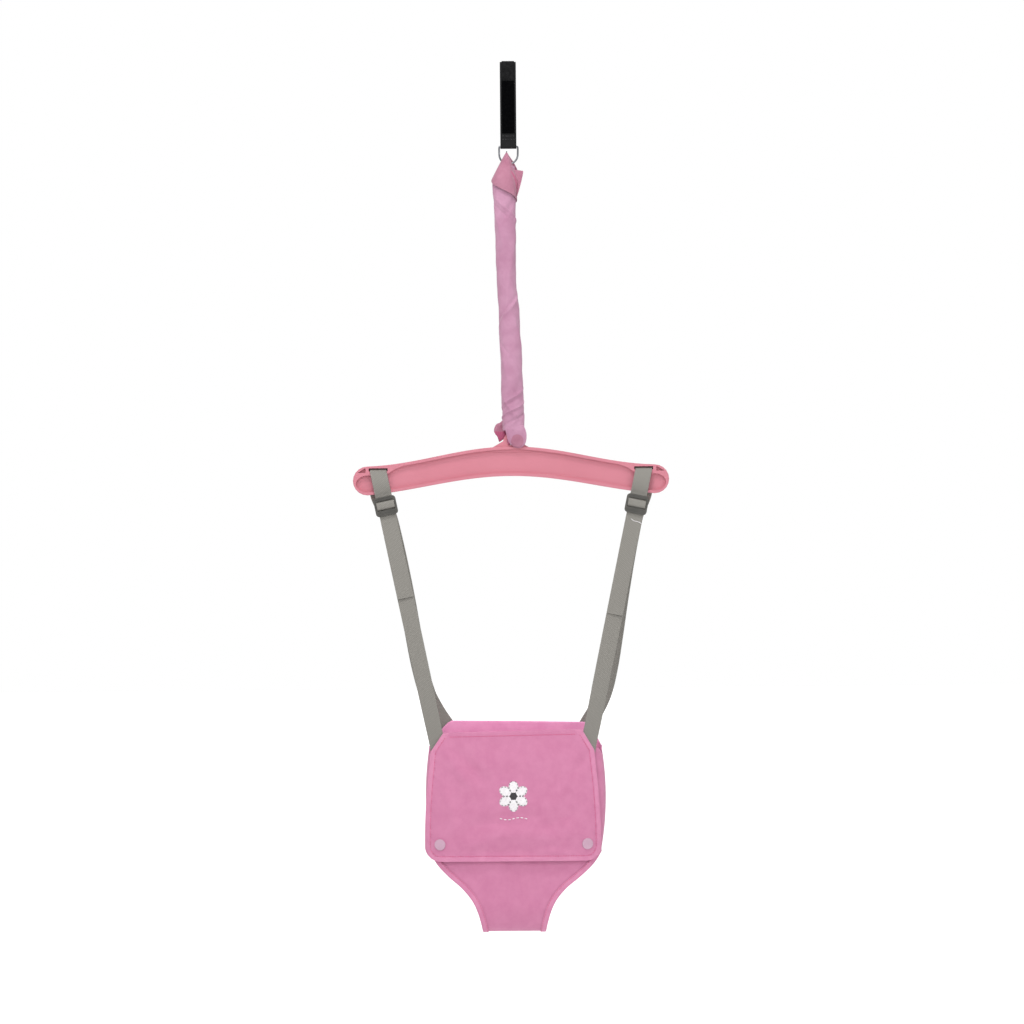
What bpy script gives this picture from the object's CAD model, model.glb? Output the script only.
# %% [markdown]
# A doorway jumper hangs a cloth seat from a spring. This lesson dresses its CAD model for a studio
# picture. The CAD solids give every place and size. Cloth, tape and thread are rebuilt here with folds,
# hems and stitches, because a solid of even thickness never looks like something sewn. Lengths are in
# millimetres until a mesh is made.

# %% Load the frame
import math

import bmesh
import bpy
import numpy as np
from mathutils import Matrix, Vector


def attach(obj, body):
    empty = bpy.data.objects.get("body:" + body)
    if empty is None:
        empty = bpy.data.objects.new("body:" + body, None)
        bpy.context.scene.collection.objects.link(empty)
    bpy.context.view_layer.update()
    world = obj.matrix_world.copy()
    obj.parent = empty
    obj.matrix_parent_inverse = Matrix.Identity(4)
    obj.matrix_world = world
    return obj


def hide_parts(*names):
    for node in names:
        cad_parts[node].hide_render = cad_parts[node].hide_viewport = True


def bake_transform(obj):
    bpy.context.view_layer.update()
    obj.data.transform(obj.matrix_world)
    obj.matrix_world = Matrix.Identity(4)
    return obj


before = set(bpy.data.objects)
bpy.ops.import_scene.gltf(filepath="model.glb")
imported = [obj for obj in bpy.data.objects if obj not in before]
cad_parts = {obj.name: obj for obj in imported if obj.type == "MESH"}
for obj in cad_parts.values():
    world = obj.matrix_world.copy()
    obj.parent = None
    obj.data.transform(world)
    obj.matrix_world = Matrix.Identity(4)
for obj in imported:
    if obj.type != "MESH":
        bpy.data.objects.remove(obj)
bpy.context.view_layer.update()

MM = 0.001
SIDES = ((-1, "left"), (1, "right"))
print("nodes:", len(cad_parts))

# %% [markdown]
# The camera comes first. The product picture is taken square on, from far away, so edges that are
# parallel on the jumper stay parallel in the picture. The jumper hangs a little crooked in it, and the
# camera's roll stands for that.

# %% Camera
IMAGE_WIDTH = 1555.0
CAMERA_DISTANCE = 12000.0
SENSOR = 36.0
CAMERA_X = 1.1
CAMERA_Z = -681.9
CAMERA_ROLL = -0.45

camera_data = bpy.data.cameras.new("studio_camera")
camera_data.sensor_width = SENSOR
camera_data.lens = SENSOR * CAMERA_DISTANCE / IMAGE_WIDTH
camera_data.clip_end = 100
camera = bpy.data.objects.new("studio_camera", camera_data)
bpy.context.collection.objects.link(camera)
place = Matrix.Translation(Vector((CAMERA_X, -CAMERA_DISTANCE, CAMERA_Z)) * MM)
upright = Matrix.Rotation(math.pi / 2, 4, "X")
camera.matrix_world = place @ upright @ Matrix.Rotation(math.radians(CAMERA_ROLL), 4, "Z")
bpy.context.scene.camera = camera
print("lens:", round(camera_data.lens, 1), "mm")

# %% [markdown]
# Nearly all of a jumper is textile, so the finishes share a few effects: the ribs of a woven tape, the
# fine cross weave of cotton, the fuzz of brushed pile, and the slight unevenness that keeps any colour
# from looking painted. Each effect is a node group with named sockets, and every material places it with
# its own values.

# %% Colour and node helpers
def colour(red, green, blue):
    """A colour from 0 to 255 a channel, as the linear values that shaders take."""
    def linear(value):
        share = value / 255
        return share / 12.92 if share <= 0.04045 else ((share + 0.055) / 1.055) ** 2.4
    return (linear(red), linear(green), linear(blue), 1.0)


def new_group(name, inputs, outputs):
    """An empty shader node group with its sockets. Returns the tree and its two end nodes."""
    tree = bpy.data.node_groups.new(name, "ShaderNodeTree")
    for label, kind, value in inputs:
        socket = tree.interface.new_socket(name=label, in_out="INPUT", socket_type=kind)
        if value is not None:
            socket.default_value = value
    for label, kind in outputs:
        tree.interface.new_socket(name=label, in_out="OUTPUT", socket_type=kind)
    return tree, tree.nodes.new("NodeGroupInput"), tree.nodes.new("NodeGroupOutput")


def math_node(tree, operation, first, second=None, third=None):
    """A math node fed by sockets or numbers. Returns its output socket."""
    node = tree.nodes.new("ShaderNodeMath")
    node.operation = operation
    for index, value in enumerate((first, second, third)):
        if value is None:
            continue
        if isinstance(value, bpy.types.NodeSocket):
            tree.links.new(value, node.inputs[index])
        else:
            node.inputs[index].default_value = value
    return node.outputs[0]


def camera_sees(tree):
    """1 for rays from the camera or off a mirror or glass, 0 for the rays that light the scene."""
    rays = tree.nodes.new("ShaderNodeLightPath")
    return math_node(tree, "MAXIMUM", rays.outputs["Is Camera Ray"],
                     math_node(tree, "MAXIMUM", rays.outputs["Is Glossy Ray"],
                               rays.outputs["Is Transmission Ray"]))


def noise_node(tree, vector, scale, detail=2.0, roughness=0.5):
    """A noise texture read at a vector socket. Returns its factor socket."""
    node = tree.nodes.new("ShaderNodeTexNoise")
    node.inputs["Detail"].default_value = detail
    node.inputs["Roughness"].default_value = roughness
    if isinstance(scale, bpy.types.NodeSocket):
        tree.links.new(scale, node.inputs["Scale"])
    else:
        node.inputs["Scale"].default_value = scale
    tree.links.new(vector, node.inputs["Vector"])
    return node.outputs["Fac"]


FLOAT, VECTOR = "NodeSocketFloat", "NodeSocketVector"
print("helpers ready")

# %% The ribs of a woven tape
def tape_weave_group():
    """Picks across a tape that pass over and under its warp ends.
    U runs along the tape and V across it, in metres."""
    tree, start, end = new_group(
        "tape_weave",
        [("Vector", VECTOR, None), ("Pick", FLOAT, 0.0024), ("Warp", FLOAT, 0.0018)],
        [("Height", FLOAT), ("Shade", FLOAT)],
    )
    split = tree.nodes.new("ShaderNodeSeparateXYZ")
    tree.links.new(start.outputs["Vector"], split.inputs[0])
    along = math_node(tree, "DIVIDE", split.outputs["X"], start.outputs["Pick"])
    across = math_node(tree, "DIVIDE", split.outputs["Y"], start.outputs["Warp"])
    column = math_node(tree, "FLOOR", across)
    shift = math_node(tree, "MULTIPLY", math_node(tree, "MODULO", column, 2.0), 0.5)
    pick = math_node(tree, "FRACT", math_node(tree, "ADD", along, shift))
    end_share = math_node(tree, "FRACT", across)
    pick_wave = math_node(tree, "SINE", math_node(tree, "MULTIPLY", pick, math.pi))
    end_wave = math_node(tree, "SINE", math_node(tree, "MULTIPLY", end_share, math.pi))
    height = math_node(tree, "MULTIPLY", pick_wave, math_node(tree, "POWER", end_wave, 0.5))
    grain = noise_node(tree, start.outputs["Vector"], 900.0, 2.0)
    shade = math_node(tree, "MULTIPLY_ADD", height, 0.75, math_node(tree, "MULTIPLY", grain, 0.25))
    tree.links.new(height, end.inputs["Height"])
    tree.links.new(shade, end.inputs["Shade"])
    return tree


# %% The fine cross weave of cotton
def cloth_weave_group():
    """Two crossed sets of threads, as long waves broken up by noise, in object space."""
    tree, start, end = new_group(
        "cloth_weave",
        [("Vector", VECTOR, None), ("Threads", FLOAT, 1300.0), ("Slub", FLOAT, 90.0)],
        [("Height", FLOAT), ("Mottle", FLOAT)],
    )
    split = tree.nodes.new("ShaderNodeSeparateXYZ")
    tree.links.new(start.outputs["Vector"], split.inputs[0])
    scale = math_node(tree, "MULTIPLY", start.outputs["Threads"], 2 * math.pi)
    depth_and_height = math_node(tree, "ADD", split.outputs["Y"], split.outputs["Z"])
    weft = math_node(tree, "SINE", math_node(tree, "MULTIPLY", depth_and_height, scale))
    warp = math_node(tree, "SINE", math_node(tree, "MULTIPLY", split.outputs["X"], scale))
    cross = math_node(tree, "MULTIPLY", weft, warp)
    slub = noise_node(tree, start.outputs["Vector"], start.outputs["Slub"], 4.0, 0.6)
    fuzz = noise_node(tree, start.outputs["Vector"], 1500.0, 2.0, 0.6)
    height = math_node(tree, "MULTIPLY_ADD", cross, 0.35, fuzz)
    tree.links.new(height, end.inputs["Height"])
    tree.links.new(slub, end.inputs["Mottle"])
    return tree


# %% The fuzz of brushed pile, and the unevenness of a moulding
def pile_group():
    """Short looped fibres that stand up from a tape."""
    tree, start, end = new_group(
        "brushed_pile", [("Vector", VECTOR, None), ("Fibres", FLOAT, 1400.0)],
        [("Height", FLOAT), ("Shade", FLOAT)])
    fine = noise_node(tree, start.outputs["Vector"], start.outputs["Fibres"], 5.0, 0.75)
    coarse = math_node(tree, "MULTIPLY", start.outputs["Fibres"], 0.25)
    tufts = noise_node(tree, start.outputs["Vector"], coarse, 2.0)
    height = math_node(tree, "MULTIPLY_ADD", tufts, 0.5, fine)
    tree.links.new(height, end.inputs["Height"])
    tree.links.new(math_node(tree, "MULTIPLY", tufts, fine), end.inputs["Shade"])
    return tree


def handling_group():
    """Slow unevenness of gloss and tone, as handling and moulding leave it."""
    tree, start, end = new_group(
        "handling", [("Vector", VECTOR, None), ("Scale", FLOAT, 14.0)], [("Tone", FLOAT), ("Height", FLOAT)])
    slow = noise_node(tree, start.outputs["Vector"], start.outputs["Scale"], 3.0, 0.55)
    close = math_node(tree, "MULTIPLY", start.outputs["Scale"], 60.0)
    fine = noise_node(tree, start.outputs["Vector"], close, 2.0)
    tree.links.new(slow, end.inputs["Tone"])
    tree.links.new(fine, end.inputs["Height"])
    return tree


tape_weave = tape_weave_group()
cloth_weave = cloth_weave_group()
brushed_pile = pile_group()
handling = handling_group()
print("node groups:", [g.name for g in bpy.data.node_groups])

# %% [markdown]
# Every finish is built the same way: an effect's mask mixes a light and a dark tone into Base Color, and
# its height feeds a Bump. What is the same all over, such as sheen or specular level, is set on the
# shader itself, because a value that reaches it through a node is lost on export.

# %% One builder for all finishes
def finish(name, group, settings, tones, mask, rough, bump=None, coordinates="Object", shader=None):
    """A material whose colour runs from tones[0] to tones[1] by one of the group's masks."""
    material = bpy.data.materials.new(name)
    material.use_nodes = True
    tree = material.node_tree
    principled = tree.nodes["Principled BSDF"]
    source = tree.nodes.new("ShaderNodeTexCoord")
    effect = tree.nodes.new("ShaderNodeGroup")
    effect.node_tree = group
    tree.links.new(source.outputs[coordinates], effect.inputs["Vector"])
    for label, value in settings.items():
        effect.inputs[label].default_value = value
    ramp = tree.nodes.new("ShaderNodeValToRGB")
    ramp.color_ramp.elements[0].position, ramp.color_ramp.elements[1].position = tones[2]
    ramp.color_ramp.elements[0].color = colour(*tones[0])
    ramp.color_ramp.elements[1].color = colour(*tones[1])
    tree.links.new(effect.outputs[mask], ramp.inputs["Fac"])
    tree.links.new(ramp.outputs["Color"], principled.inputs["Base Color"])
    gloss = tree.nodes.new("ShaderNodeMapRange")
    gloss.inputs["To Min"].default_value, gloss.inputs["To Max"].default_value = rough
    tree.links.new(effect.outputs[mask], gloss.inputs["Value"])
    tree.links.new(gloss.outputs["Result"], principled.inputs["Roughness"])
    if bump:
        relief = tree.nodes.new("ShaderNodeBump")
        relief.inputs["Distance"].default_value, relief.inputs["Strength"].default_value = bump
        tree.links.new(effect.outputs["Height"], relief.inputs["Height"])
        tree.links.new(relief.outputs["Normal"], principled.inputs["Normal"])
    for label, value in (shader or {}).items():
        principled.inputs[label].default_value = value
    return material


SOFT = {"Sheen Weight": 0.25, "Sheen Roughness": 0.5, "Specular IOR Level": 0.15}


def cotton(name, threads, slub, dark, light, rough):
    """A cotton cloth, from its thread count and its two tones."""
    return finish(name, cloth_weave, {"Threads": threads, "Slub": slub}, (dark, light, (0.35, 0.65)),
                  "Mottle", rough, (0.0003, 0.35), shader=SOFT)


def even(name, scale, dark, light, rough, bump, shader):
    """A plastic, metal or thread, whose tone changes only slowly."""
    return finish(name, handling, {"Scale": scale}, (dark, light, (0.3, 0.7)), "Tone", rough, bump,
                  shader=shader)


# %% The jumper's finishes
grey_webbing = finish(
    "grey_webbing", tape_weave, {"Pick": 0.0026, "Warp": 0.0021},
    ((121, 118, 112), (151, 148, 142), (0.1, 0.8)), "Shade", (0.8, 0.65), (0.0005, 0.35), "UV",
    {"Specular IOR Level": 0.3})
black_webbing = finish(
    "black_webbing", tape_weave, {"Pick": 0.0022, "Warp": 0.0018},
    ((7, 7, 8), (20, 21, 22), (0.1, 0.9)), "Shade", (0.9, 0.75), (0.0005, 0.5), "UV",
    {"Specular IOR Level": 0.25})
fuzzy_tape = finish(
    "fuzzy_tape", brushed_pile, {}, ((1, 1, 2), (12, 12, 13), (0.12, 0.6)), "Shade", (1.0, 0.9),
    (0.0008, 0.8), shader={"Sheen Weight": 0.01, "Sheen Roughness": 0.5, "Specular IOR Level": 0.03})
hook_tape = finish(
    "hook_tape", brushed_pile, {"Fibres": 900.0}, ((12, 12, 13), (39, 39, 40), (0.12, 0.6)), "Shade",
    (0.9, 0.8), (0.0006, 0.8), shader={"Specular IOR Level": 0.1})
SLEEVE_ROUGH, SEAT_ROUGH = (0.9, 0.82), (0.88, 0.8)
sleeve_cloth = cotton("sleeve_cloth", 1100.0, 40.0, (180, 128, 155), (193, 144, 170), SLEEVE_ROUGH)
sleeve_double = cotton("sleeve_double", 1100.0, 40.0, (170, 111, 133), (183, 126, 147), SLEEVE_ROUGH)
sleeve_inside = cotton("sleeve_inside", 1100.0, 40.0, (174, 84, 118), (192, 104, 136), SLEEVE_ROUGH)
seat_cloth = cotton("seat_cloth", 1000.0, 60.0, (206, 128, 164), (212, 136, 171), SEAT_ROUGH)
hem_cloth = cotton("hem_cloth", 1000.0, 60.0, (213, 135, 171), (221, 146, 180), SEAT_ROUGH)
seat_lining = cotton("seat_lining", 1000.0, 60.0, (243, 158, 203), (250, 170, 212), SEAT_ROUGH)

hanger_plastic = even("hanger_plastic", 9.0, (201, 121, 136), (207, 128, 143), (0.42, 0.34), (0.00008, 0.2),
                      {"Specular IOR Level": 0.45})
slider_plastic = even("slider_plastic", 60.0, (72, 71, 67), (84, 82, 78), (0.5, 0.42), (0.0001, 0.3),
                      {"Specular IOR Level": 0.4})
snap_plastic = even("snap_plastic", 80.0, (196, 156, 178), (204, 166, 187), (0.4, 0.32), (0.00006, 0.2),
                    {"Specular IOR Level": 0.45})
plating = even("plating", 120.0, (84, 85, 88), (122, 124, 128), (0.34, 0.22), (0.00006, 0.2),
               {"Metallic": 1.0})
spring_steel = even("spring_steel", 200.0, (120, 123, 127), (158, 161, 165), (0.42, 0.3), (0.00006, 0.2),
                    {"Metallic": 1.0})

THREAD = {"Sheen Weight": 0.2}
pink_thread = even("pink_thread", 400.0, (200, 78, 122), (214, 94, 136), (0.75, 0.65), (0.00008, 0.3),
                   THREAD)
white_thread = even("white_thread", 400.0, (233, 228, 231), (249, 246, 248), (0.7, 0.6), (0.0001, 0.4),
                    THREAD)
dark_thread = even("dark_thread", 400.0, (24, 22, 25), (52, 48, 53), (0.7, 0.6), (0.0001, 0.4), THREAD)
print("materials:", len(bpy.data.materials))

# %% [markdown]
# All meshes are made from arrays of points, so that a shape is a formula that can be read and changed.
# Four makers cover nearly everything: a tape along a line, a round wire along a line, a sheet over a
# grid, and a turned piece.

# %% Points to mesh
def solid(name, points, faces, material, layout=None, smooth_angle=50):
    """A mesh object from millimetre points. layout gives each point its U and V in metres."""
    mesh = bpy.data.meshes.new(name)
    mesh.from_pydata((np.asarray(points, float) * MM).tolist(), [], [list(face) for face in faces])
    if layout is not None:
        uv = mesh.uv_layers.new(name="layout")
        corners = np.empty(len(mesh.loops), int)
        mesh.loops.foreach_get("vertex_index", corners)
        uv.data.foreach_set("uv", np.asarray(layout, float)[corners].ravel())
    work = bmesh.new()
    work.from_mesh(mesh)
    bmesh.ops.recalc_face_normals(work, faces=work.faces)
    work.to_mesh(mesh)
    work.free()
    mesh.polygons.foreach_set("use_smooth", [True] * len(mesh.polygons))
    mesh.set_sharp_from_angle(angle=math.radians(smooth_angle))
    mesh.materials.append(material)
    obj = bpy.data.objects.new(name, mesh)
    bpy.context.collection.objects.link(obj)
    return obj


def place_piece(obj, body, slot, *nodes):
    """The piece moves with one body and stands for its CAD nodes."""
    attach(obj, body)
    if nodes:
        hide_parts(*nodes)
    return obj


def bend_piece(obj, bodies, zone, slot, *nodes):
    """The piece bends between two bodies, over a zone given as two heights in millimetres."""
    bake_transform(obj)
    if nodes:
        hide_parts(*nodes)
    return obj


def unit(vectors):
    vectors = np.asarray(vectors, float)
    return vectors / np.maximum(np.linalg.norm(vectors, axis=-1, keepdims=True), 1e-9)


def directions(line, closed=False):
    """The way a line runs at each of its points."""
    if closed:
        return unit(np.roll(line, -1, 0) - np.roll(line, 1, 0))
    return unit(np.gradient(line, axis=0))


def run_along(line):
    """How far along a line each of its points is."""
    return np.concatenate([[0], np.cumsum(np.linalg.norm(np.diff(line, axis=0), axis=1))])


def round_angles(count):
    """Angles of count points evenly round a circle."""
    return 2 * math.pi * np.arange(count) / count


def smooth_line(points, step, closed=False):
    """Points every step or so along a smooth curve through the given points. Any number of columns."""
    points = np.asarray(points, float)
    if closed:
        points = np.vstack([points[-1], points, points[0], points[1]])
    else:
        points = np.vstack([2 * points[0] - points[1], points, 2 * points[-1] - points[-2]])
    line = []
    for before, here, there, after in zip(points, points[1:], points[2:], points[3:]):
        length = np.linalg.norm((there - here)[:3])
        count = max(1, round(length / step))
        near = max(np.linalg.norm((here - before)[:3]), 1e-6)
        far = max(np.linalg.norm((after - there)[:3]), 1e-6)
        leave = (here - before) / near + (there - here) / length
        arrive = (there - here) / length + (after - there) / far
        leave, arrive = leave * length / 2, arrive * length / 2
        for t in np.arange(count) / count:
            line.append((2 * t**3 - 3 * t**2 + 1) * here + (t**3 - 2 * t**2 + t) * leave
                        + (3 * t**2 - 2 * t**3) * there + (t**3 - t**2) * arrive)
    if not closed:
        line.append(points[-2])
    return np.array(line)


def ring_faces(rows, count, closed=False, capped=True):
    """Faces of a skin over rows of rings, each of count points."""
    faces = []
    for i in range(rows if closed else rows - 1):
        here, there = i * count, (i + 1) % rows * count
        faces += [(here + j, here + (j + 1) % count, there + (j + 1) % count, there + j)
                  for j in range(count)]
    if capped and not closed:
        faces += [tuple(range(count))[::-1], tuple((rows - 1) * count + j for j in range(count))]
    return faces


# %% A woven tape along a line
TAPE_PROFILE = [(-1, 0), (-0.985, 0.7), (-0.94, 1.06), (-0.87, 0.95), (-0.45, 1), (0, 1)]
TAPE_HALF = TAPE_PROFILE + [(-a, b) for a, b in TAPE_PROFILE[-2::-1]]
TAPE_SECTION = np.array(TAPE_HALF + [(a, -b) for a, b in TAPE_HALF[-2:0:-1]], float)


def tape(name, centres, across, width, thick, material, closed=False, step=2.0):
    """A flat tape with rounded selvedges. width may be one number or one for each centre."""
    widths = np.full(len(centres), width, float) if np.isscalar(width) else np.asarray(width, float)
    table = np.hstack([np.asarray(centres, float), unit(across), widths[:, None]])
    line = smooth_line(table, step, closed)
    middle, side, wide = line[:, :3], unit(line[:, 3:6]), line[:, 6] / 2
    along = directions(middle, closed)
    side = unit(side - along * np.sum(side * along, 1, keepdims=True))
    normal = np.cross(along, side)
    run = run_along(middle)
    points = (middle[:, None] + side[:, None] * (TAPE_SECTION[None, :, :1] * wide[:, None, None])
              + normal[:, None] * (TAPE_SECTION[None, :, 1:] * thick / 2))
    layout = np.stack(np.broadcast_arrays(run[:, None], TAPE_SECTION[None, :, 0] * wide[:, None]), -1) * MM
    count = len(TAPE_SECTION)
    return solid(name, points.reshape(-1, 3), ring_faces(len(line), count, closed), material,
                 layout.reshape(-1, 2))


# %% A round wire along a line
def wire(name, line, radius, material, sides=12, closed=False):
    """A wire of round section. Its section is carried along without twist."""
    line = np.asarray(line, float)
    radii = np.full(len(line), radius, float) if np.isscalar(radius) else np.asarray(radius, float)
    along = directions(line, closed)
    normal = unit(np.cross(along[0], [0.31, 0.17, 0.93]))
    rings = []
    angle = round_angles(sides)
    for point, way, size in zip(line, along, radii):
        normal = unit(normal - way * (normal @ way))
        binormal = np.cross(way, normal)
        rings.append(point + size * (np.cos(angle)[:, None] * normal + np.sin(angle)[:, None] * binormal))
    return solid(name, np.vstack(rings), ring_faces(len(line), sides, closed), material)


# %% A sheet of cloth over a grid
def grid_normals(grid):
    return unit(np.cross(np.gradient(grid, axis=0), np.gradient(grid, axis=1)))


def cloth_sheet(name, grid, thick, material, outward, lift=None):
    """A sheet with both faces and a rounded rim. outward is a rough direction for its front face.
    lift raises the front face only, as a hem's second layer does."""
    normals = grid_normals(grid)
    if np.mean(np.sum(normals * np.asarray(outward, float), -1)) < 0:
        normals = -normals
    rows, columns = grid.shape[:2]
    half = np.full((rows, columns), thick / 2)
    lift = np.zeros((rows, columns)) if lift is None else lift
    front = grid + normals * (half + lift)[..., None]
    back = grid - normals * half[..., None]
    points = np.vstack([front.reshape(-1, 3), back.reshape(-1, 3)])
    index = np.arange(rows * columns).reshape(rows, columns)
    under = index + rows * columns
    faces = np.concatenate([
        np.stack([f[:-1, :-1], f[:-1, 1:], f[1:, 1:], f[1:, :-1]], -1).reshape(-1, 4)
        for f in (index, under)])
    rim = np.concatenate([index[0, :-1], index[:-1, -1], index[-1, :0:-1], index[:0:-1, 0]])
    centre = grid.reshape(-1, 3)
    step_in = np.concatenate([
        grid[0, :-1] - grid[1, :-1], grid[:-1, -1] - grid[:-1, -2],
        grid[-1, :0:-1] - grid[-2, :0:-1], grid[:0:-1, 0] - grid[:0:-1, 1]])
    rim_points = centre[rim] + unit(step_in) * thick * 0.4
    first = len(points)
    points = np.vstack([points, rim_points])
    loop = first + np.arange(len(rim))
    following = np.roll(np.arange(len(rim)), -1)
    rim_faces = np.concatenate([
        np.stack([rim, rim[following], loop[following], loop], -1),
        np.stack([loop, loop[following], rim[following] + rows * columns, rim + rows * columns], -1)])
    faces = np.concatenate([faces, rim_faces])
    return solid(name, points, faces.tolist(), material, smooth_angle=75)


# %% A turned piece, and stitches along a seam
def turned(name, profile, foot, axis, material, sides=48):
    """A profile of (radius, height) turned about an axis through foot."""
    axis = unit(axis)
    first = unit(np.cross(axis, [1, 0.2, 0.1]))
    second = np.cross(axis, first)
    angle = round_angles(sides)
    circle = np.cos(angle)[:, None] * first + np.sin(angle)[:, None] * second
    rings = [np.asarray(foot) + radius * circle + height * axis for radius, height in profile]
    return solid(name, np.vstack(rings), ring_faces(len(profile), sides), material, smooth_angle=40)


STITCH_SHARES = np.array([0.0, 0.12, 0.5, 0.88, 1.0])
STITCH_LIFTS = np.array([-0.6, 0.35, 0.6, 0.35, -0.6])
STITCH_GIRTHS = np.array([0.45, 0.9, 1.0, 0.9, 0.45])
STITCH_SIDES = 6


def stitches(name, line, normals, material, length=2.8, gap=1.1, radius=0.32):
    """A row of stitches on a surface: each arches over the cloth and dives in at both ends."""
    line, normals = np.asarray(line, float), unit(normals)
    run = run_along(line)
    count = max(1, int((run[-1] + gap) / (length + gap)))
    starts = (run[-1] - count * length - (count - 1) * gap) / 2 + np.arange(count) * (length + gap)
    at = starts[:, None] + STITCH_SHARES * length
    spots = np.stack([np.interp(at, run, line[:, k]) for k in range(3)], -1)
    up = unit(np.stack([np.interp(at, run, normals[:, k]) for k in range(3)], -1))
    spots = spots + up * (STITCH_LIFTS * radius)[:, None]
    along = unit(spots[:, -1] - spots[:, 0])[:, None]
    side = unit(np.cross(along, up))
    angle = round_angles(STITCH_SIDES)
    girth = (STITCH_GIRTHS * radius)[None, :, None, None]
    rings = spots[:, :, None] + girth * (np.cos(angle)[:, None] * side[:, :, None]
                                         + np.sin(angle)[:, None] * up[:, :, None])
    each = len(STITCH_SHARES) * STITCH_SIDES
    one = ring_faces(len(STITCH_SHARES), STITCH_SIDES)
    faces = [tuple(i + n * each for i in face) for n in range(count) for face in one]
    return solid(name, rings.reshape(-1, 3), faces, material, smooth_angle=180)


print("makers ready")

# %% [markdown]
# The hanging strap is one black tape, folded to a long loop that goes over a hook or a door clamp, and
# sewn flat above the ring. Its path is drawn from the side as two drops joined at the sewn band, then
# swept as a tape. A hook patch and a pile tape on its front let the loop be opened. They are brushed, so
# their surface is really uneven.

# %% Hanging strap
STRAP_WIDTH, STRAP_THICK = 24.4, 1.7
LOOP_RADIUS, LOOP_CENTRE = 9.0, -9.0
BAND_TOP, BAND_BOTTOM = -109.0, -118.0
RING_BAR, RING_HOLE = -127.0, 1.7


def drop_side(radius, centre, far, up):
    """Half a drop, from where it leaves the straight run to the end of its arc, as (y, z)."""
    reach = math.pi / 2 + math.asin(radius / abs(far - centre))
    return [(radius * math.cos(a), centre + radius * math.sin(a))
            for a in math.pi / 2 * up + np.linspace(-reach, reach, 33)]


upper = drop_side(LOOP_RADIUS + STRAP_THICK / 2, LOOP_CENTRE, BAND_TOP, 1)
lower = drop_side(RING_HOLE + STRAP_THICK / 2 + 0.05, RING_BAR, BAND_BOTTOM, -1)
half = STRAP_THICK / 2 + 0.05
side_view = (upper + [(-half, BAND_TOP), (-half, BAND_BOTTOM)]
             + lower + [(half, BAND_BOTTOM), (half, BAND_TOP)])
strap_line = np.array([(0, y, z) for y, z in side_view])
strap = tape("hanging_strap_tape", strap_line, np.tile([1.0, 0, 0], (len(strap_line), 1)), STRAP_WIDTH,
             STRAP_THICK, black_webbing, closed=True)
place_piece(strap, "strap", "black_webbing", "hanging_strap")
print("strap:", len(strap.data.vertices), "points")


# %% Hook patch and pile tape
def front_tape(name, top, bottom, material, node):
    """A brushed tape on the loop's front between two drops. A top of 0 starts at the loop's crown."""
    stand = LOOP_RADIUS + 1.8 + 0.3 + 0.45
    taper = math.asin(LOOP_RADIUS / (abs(BAND_TOP) - LOOP_RADIUS))
    touch = np.array([0, -math.cos(taper) * stand, LOOP_CENTRE + math.sin(taper) * stand])
    down = np.array([0, math.sin(taper), -math.cos(taper)])
    line = []
    if top == 0:
        for angle in np.linspace(math.pi / 2, -taper, 12)[:-1]:
            line.append([0, -math.cos(angle) * stand, LOOP_CENTRE + math.sin(angle) * stand])
        top = -line.pop()[2] + 2
    for drop in np.linspace(top, bottom, 12):
        line.append(touch + down * (touch[2] + drop) / math.cos(taper))
    obj = tape(name, line, np.tile([1.0, 0, 0], (len(line), 1)), 19.0, 0.9, material, step=0.8)
    split = obj.modifiers.new("finer", "SUBSURF")
    split.subdivision_type = "SIMPLE"
    split.levels = split.render_levels = 1
    fuzz_texture = bpy.data.textures.new(name + "_fuzz", "CLOUDS")
    fuzz_texture.noise_scale = 0.0016
    fuzz = obj.modifiers.new("fuzz", "DISPLACE")
    fuzz.texture, fuzz.texture_coords, fuzz.strength = fuzz_texture, "LOCAL", 0.5 * MM
    return place_piece(obj, "strap", "fuzzy_tape", node)


front_tape("hook_patch_tape", 0, 26.0, hook_tape, "hook_patch")
front_tape("pile_tape_strip", 27.5, 107.0, fuzzy_tape, "pile_tape")


# %% Stitches that close the strap above the ring
def strap_seam(name, level, reach):
    xs = np.linspace(-reach, reach, 24)
    for face in (-1, 1):
        line = np.stack([xs, np.full(24, face * (STRAP_THICK + 0.1)), np.full(24, level)], 1)
        row = stitches(f"{name}_{'front' if face < 0 else 'back'}", line, np.tile([0, face, 0], (24, 1)),
                       dark_thread)
        place_piece(row, "strap", "black_webbing")


strap_seam("strap_seam_upper", BAND_TOP - 2, 10)
strap_seam("strap_seam_lower", BAND_BOTTOM + 2, 10)
print("strap dressed")

# %% [markdown]
# The ring is steel wire bent to a D: a straight bar in the strap's fold and a half circle below. The
# spring hooks on it. Both are wires swept along a path. The coil bends between two bodies, so that it
# stretches when the baby bounces.

# %% Ring
RING_WIRE, RING_BAR_LENGTH, RING_CORNER, RING_HEIGHT = 2.8, 24.9, 1.6, 26.4
ring_half = RING_BAR_LENGTH / 2 + RING_CORNER
ring_arc_centre = RING_BAR - (RING_HEIGHT - ring_half)
ring_low = RING_BAR - RING_HEIGHT
corner = [(RING_BAR_LENGTH / 2 + RING_CORNER * math.sin(a), 0, RING_BAR - RING_CORNER * (1 - math.cos(a)))
          for a in np.linspace(0, math.pi / 2, 6)]
bow = [(ring_half * math.cos(a), 0, ring_arc_centre - ring_half * math.sin(a))
       for a in np.linspace(0, math.pi, 49)]
ring_line = ([(0.25, 0, RING_BAR)] + corner + bow + [(-x, y, z) for x, y, z in corner[::-1]]
             + [(-0.25, 0, RING_BAR)])
ring = wire("ring_wire", smooth_line(ring_line, 1.0), RING_WIRE / 2, plating, sides=20)
place_piece(ring, "ring", "plating", "d_ring")

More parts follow.
